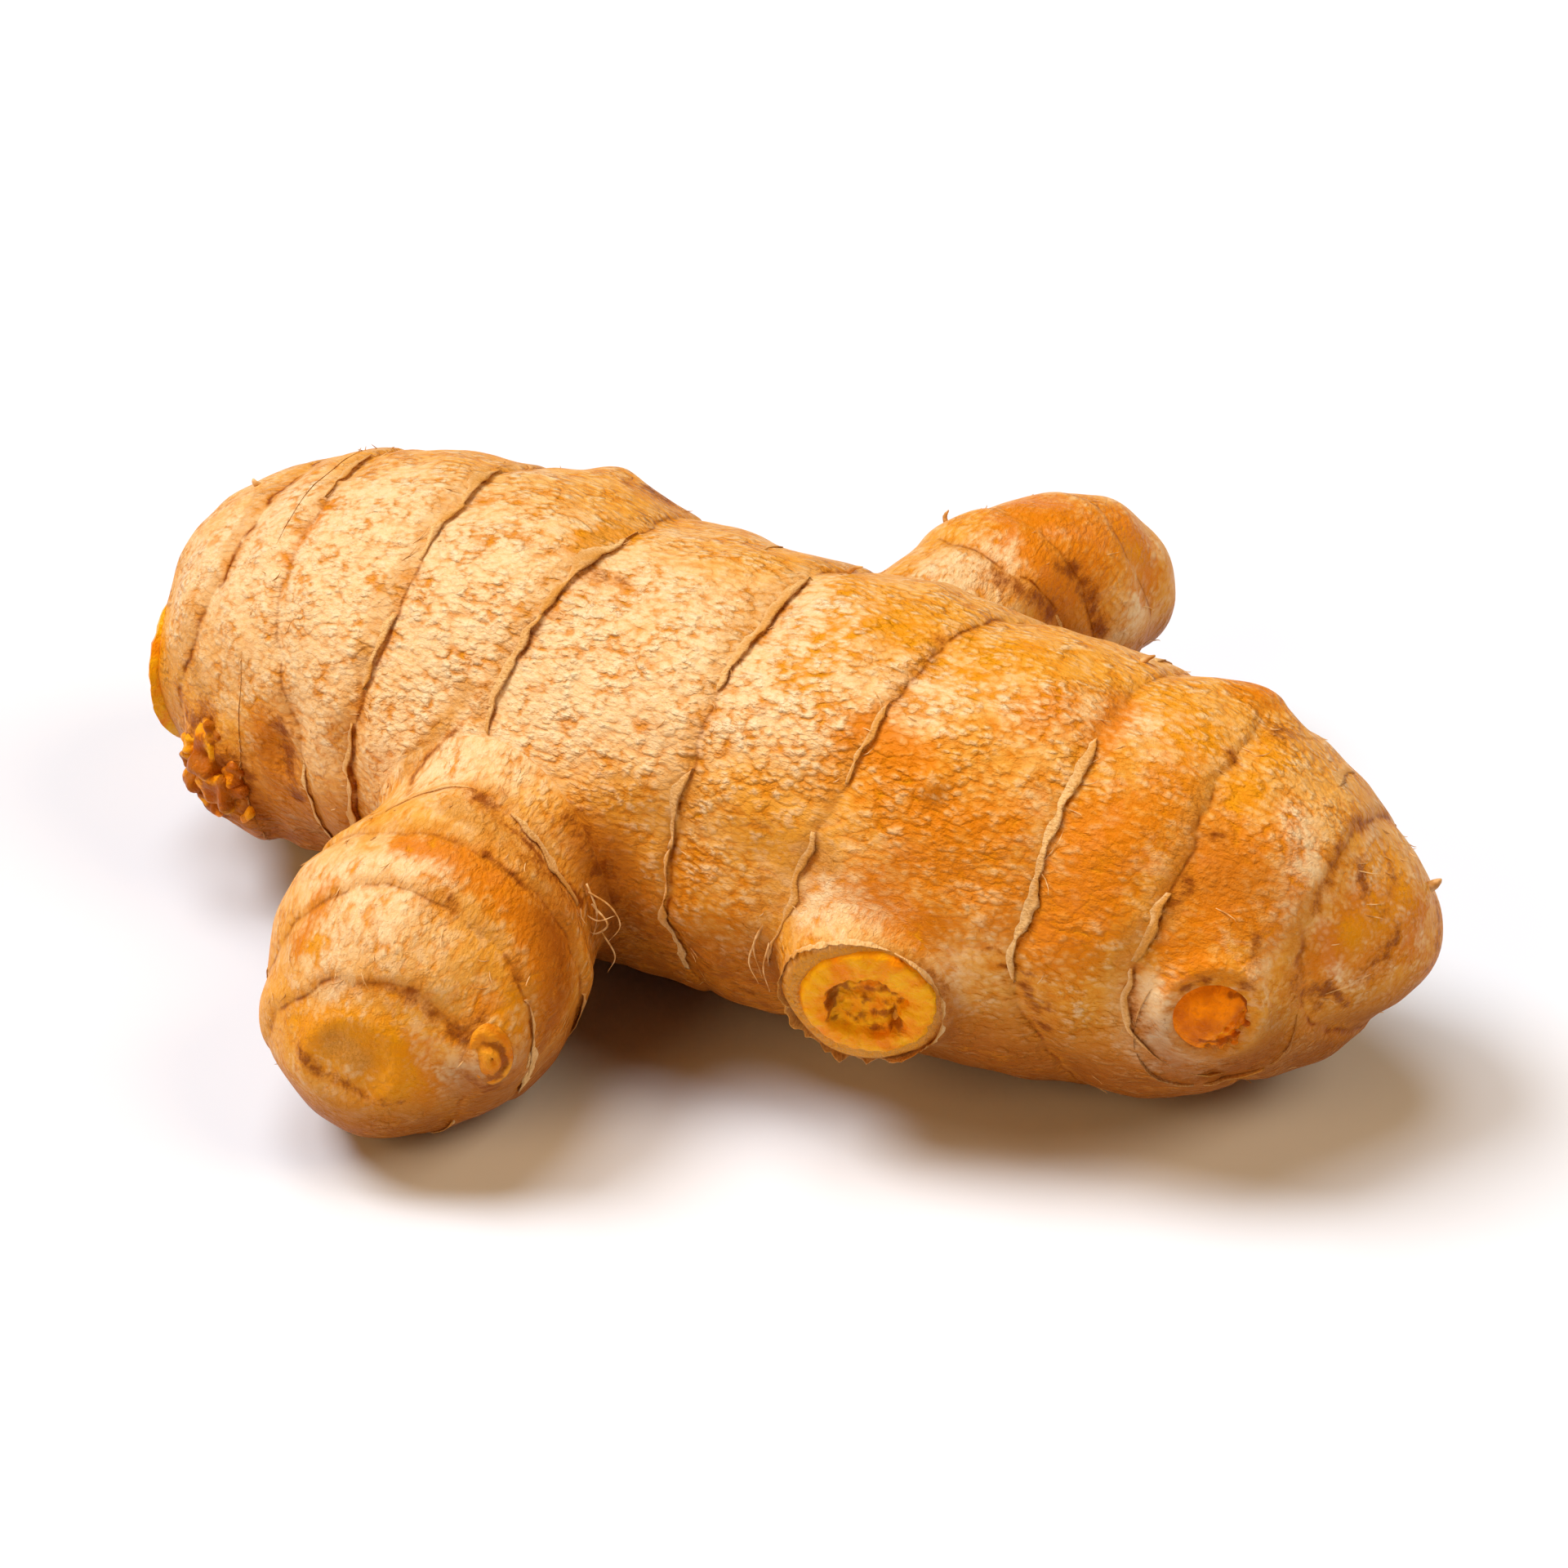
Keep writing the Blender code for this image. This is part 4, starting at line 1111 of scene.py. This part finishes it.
def add_flesh():
    wet = flesh_material("wet_flesh", FLESH_DARK, FLESH, FLESH_PALE)
    deep = flesh_material("deep_flesh", FLESH_DARK, FLESH_DEEP, FLESH)
    dry = flesh_material("dry_flesh", STAIN_AND_SHADE, PARCHMENT, FLESH)
    bud = flesh_material("bud_scales", STAIN_AND_SHADE, ORANGE, ORANGE_CREST)
    for name, face, profile, material, slot in (
        ("front_flesh", STUB_FACE, torn_face, wet, "flesh"),
        ("scar_flesh", SCAR_FACE, scar_face, deep, "flesh"),
        ("finger_bud", BUD_FACE, bud_face, bud, "skin"),
        ("end_flesh", END_FACE, snapped_face, wet, "flesh"),
        ("back_flesh", BACK_FACE, snapped_face, dry, "flesh"),
    ):
        part, hollow = disc(*face, profile)
        piece(name, [part], material, slot, hollow=hollow)


# Beads of flesh on the torn knob: (place, radius).
BEADS = [
    ((-35.8, -9.0, 10.2), 1.0),
    ((-34.2, -9.6, 9.9), 1.7),
    ((-33.0, -10.0, 8.2), 1.8),
    ((-31.4, -10.4, 6.9), 1.2),
    ((-35.2, -9.2, 8.2), 1.4),
    ((-34.0, -9.4, 11.6), 1.0),
    ((-32.2, -10.2, 9.8), 1.1),
    ((-34.0, -9.4, 6.8), 1.0),
    ((-36.2, -8.4, 8.8), 0.9),
]
BRIGHT = (0, 3)  # the beads that are least dried


def add_beads():
    shape = bmesh.new()
    bmesh.ops.create_icosphere(shape, subdivisions=4, radius=1)
    ball = np.array([corner.co[:] for corner in shape.verts])
    faces = np.array([[corner.index for corner in face.verts] for face in shape.faces])
    shape.free()
    parts = []
    hollow = []
    for seed, (place, radius) in enumerate(BEADS):
        lumpy = radius * (1 + 0.6 * grain(ball, 0.6, 3.0 + seed))
        settled, out, _, _ = settle(np.array([place]))
        parts.append((settled - 0.55 * radius * out + ball * lumpy[:, None], faces))
        hollow.append(1.0 - 1.3 * grain(ball, 0.6, 8.0 + seed) - 0.8 * (seed in BRIGHT))
    torn = flesh_material("torn_flesh", FLESH_DARK, FLESH, YELLOW)
    piece("torn_beads", parts, torn, "flesh", hollow=np.clip(np.concatenate(hollow), 0, 1))


# Dry fibres: (places in turn, radius at the root).
FIBRES = [
    ([(-5.2, -15.6, 13.4), (-4.4, -16.0, 12.0), (-4.6, -16.0, 10.4), (-5.0, -16.0, 9.6)], 0.07),
    ([(-5.0, -15.8, 13.0), (-3.6, -15.8, 12.4), (-3.0, -15.8, 11.2), (-3.8, -15.8, 9.8)], 0.06),
    ([(-4.8, -15.8, 12.2), (-3.6, -16.2, 11.4), (-4.4, -16.4, 10.6), (-5.2, -16.2, 11.0)], 0.07),
    ([(-5.6, -16.0, 11.8), (-4.2, -16.4, 11.6), (-3.2, -16.0, 12.0)], 0.06),
    ([(-4.4, -15.4, 10.0), (-3.6, -15.4, 8.6), (-4.0, -15.6, 7.4)], 0.06),
    ([(-37.0, 2.7, 21.8), (-37.2, 2.5, 22.1), (-37.4, 2.6, 22.3)], 0.25),
    ([(-20.1, 6.2, 24.8), (-19.9, 6.4, 25.3), (-20.2, 6.4, 25.6)], 0.2),
    ([(0.1, 24.3, 16.4), (-0.2, 24.5, 17.0), (0.0, 24.6, 17.5)], 0.2),
    ([(2.5, 3.5, 25.6), (2.8, 3.6, 25.9), (3.3, 3.8, 26.0)], 0.2),
    ([(20.4, 4.6, 22.8), (20.6, 4.6, 23.8), (21.2, 4.8, 24.2)], 0.30),
    ([(38.3, 4.2, 13.2), (39.0, 4.4, 13.8), (39.3, 4.4, 14.2)], 0.35),
    ([(5.5, -14.4, 13.2), (5.0, -14.8, 11.6), (5.6, -15.0, 9.8)], 0.09),
    ([(5.9, -14.6, 12.0), (5.7, -15.0, 10.4), (6.2, -15.2, 9.0)], 0.07),
    ([(4.8, -14.2, 11.6), (4.6, -14.6, 10.2), (5.4, -15.0, 9.2)], 0.06),
]
HAIRS = 260
HAIR_RADIUS = 0.035
HAIR_SHARES = (0.7, 0.2, 0.1)  # of all the hairs, on each of the limbs with rings
FIBRE_STEPS = 6  # from each of a fibre's places to the next
ROUND = 6  # corners round a fibre


def fibre(line, radius):
    """A thin closed tube along a chain of points, tapering to its end."""
    ahead = unit(np.gradient(line, axis=0))
    side = unit(np.cross(ahead, (0.31, 0.52, 0.79)))
    up = np.cross(ahead, side)
    angle = np.arange(ROUND) * 2 * np.pi / ROUND
    taper = radius * (1 - 0.8 * np.linspace(0, 1, len(line)) ** 2)
    ring = np.cos(angle)[None, :, None] * side[:, None] + np.sin(angle)[None, :, None] * up[:, None]
    corners = (line[:, None] + taper[:, None, None] * ring).reshape(-1, 3)
    return corners, closed_rows(len(line), ROUND)


def hairs(randoms):
    """Short hairs growing near the rings, bent along the skin."""
    lines = []
    for limb, part in zip(LIMBS, HAIR_SHARES):
        count = round(HAIRS * part)
        turns = randoms.uniform(0.8, 6.0, count)
        ring = randoms.integers(0, len(limb.rings), count)
        along = round_limb(limb.rings, turns)[ring, np.arange(count)]
        along += randoms.normal(0, 0.9, count)
        length = randoms.uniform(0.5, 1.8, count)
        lean = randoms.normal(0, 0.6, count)
        steps = []
        for share in (0.0, 0.35, 0.7, 1.0):
            turn = turns + lean * share * length / limb.radii.mean()
            reach = along + share * length * (1 - 0.5 * share)
            points, out, shares, _ = settle(spot(limb, turn, reach))
            raised = raise_relief(points, out, shares)[0]
            steps.append(raised + (0.4 * share * length / 1.8 - 0.03)[:, None] * out)
        lines += list(np.stack(steps, 1))
    return lines


def add_fibres():
    parts = [fibre(through(places, FIBRE_STEPS), radius) for places, radius in FIBRES]
    parts += [fibre(line, HAIR_RADIUS) for line in hairs(np.random.default_rng(5))]
    piece("dry_fibres", parts, fibre_material(), "leaf_base")


VIEW_TURN = math.radians(25)
VIEW_RISE = math.radians(35)
VIEW_DISTANCE = 260.0
LENS = 100.0
SIGHT = (0.0, 0.0, 12.0)  # the point at the picture's middle, in the rhizome's grid

RIGHT = Vector((math.cos(VIEW_TURN), math.sin(VIEW_TURN), 0))
AWAY = Vector((-math.sin(VIEW_TURN), math.cos(VIEW_TURN), 0))
UP = Vector((0, 0, 1))


def add_camera():
    camera = bpy.data.cameras.new("camera")
    camera.lens = LENS
    camera.sensor_width = 36.0
    camera.clip_start = 0.01
    obj = link(bpy.data.objects.new("camera", camera))
    back = UP * math.sin(VIEW_RISE) - AWAY * math.cos(VIEW_RISE)
    sight = Vector(to_frame(np.array([SIGHT]))[0])
    obj.location = sight + back * VIEW_DISTANCE * MM
    obj.rotation_euler = back.to_track_quat("Z", "Y").to_euler()
    bpy.context.scene.camera = obj


KEY_COLOUR = (1.0, 0.98, 0.95)
SIDE_COLOUR = (1.0, 0.74, 0.45)
FILL_COLOUR = (1.0, 0.56, 0.22)
ROOM_COLOUR = (1.0, 0.45, 0.20, 1)
FLOOR_COLOUR = (0.76, 0.83, 0.95, 1)
FLOOR_SIZE = 3.0  # metres, from its middle to an edge


def add_sun(name, energy, colour, angle, direction):
    """A soft light that shines from the given direction, as wide as the given angle."""
    sun = bpy.data.lights.new(name, "SUN")
    sun.energy = energy
    sun.color = colour
    sun.angle = math.radians(angle)
    obj = link(bpy.data.objects.new(name, sun))
    obj.rotation_euler = direction.to_track_quat("Z", "Y").to_euler()


def add_lights():
    add_sun("key_left", 2.4, KEY_COLOUR, 26, UP + AWAY * 0.2 - RIGHT * 0.65)
    add_sun("key_above", 1.1, KEY_COLOUR, 26, UP + AWAY * 0.2 - RIGHT * 0.1)
    add_sun("side", 1.2, SIDE_COLOUR, 30, UP + RIGHT * 0.9 - AWAY * 0.2)
    add_sun("fill", 0.9, FILL_COLOUR, 35, UP * 0.7 - AWAY * 0.8 - RIGHT * 0.9)
    world = bpy.data.worlds.new("studio")
    world.use_nodes = True
    background = world.node_tree.nodes["Background"]
    background.inputs["Color"].default_value = ROOM_COLOUR
    background.inputs["Strength"].default_value = 0.05
    bpy.context.scene.world = world


def add_floor():
    shape = bmesh.new()
    bmesh.ops.create_grid(shape, x_segments=1, y_segments=1, size=FLOOR_SIZE)
    mesh = bpy.data.meshes.new("floor")
    shape.to_mesh(mesh)
    shape.free()
    obj = link(bpy.data.objects.new("floor", mesh))
    s = Shader("paper_white")
    s.surface.inputs["Base Color"].default_value = (0.76, 0.83, 0.95, 1)
    s.surface.inputs["Roughness"].default_value = 0.9
    s.surface.inputs["Specular IOR Level"].default_value = 0.1
    mesh.materials.append(s.material)


def main():
    bpy.context.scene.view_settings.view_transform = "Standard"
    add_camera()
    skin = make_skin()
    skin.data.materials.append(skin_material())
    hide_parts("rhizome")
    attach(skin, "root")
    add_leaf_bases()
    add_flesh()
    add_beads()
    add_fibres()
    add_floor()
    add_lights()


main()
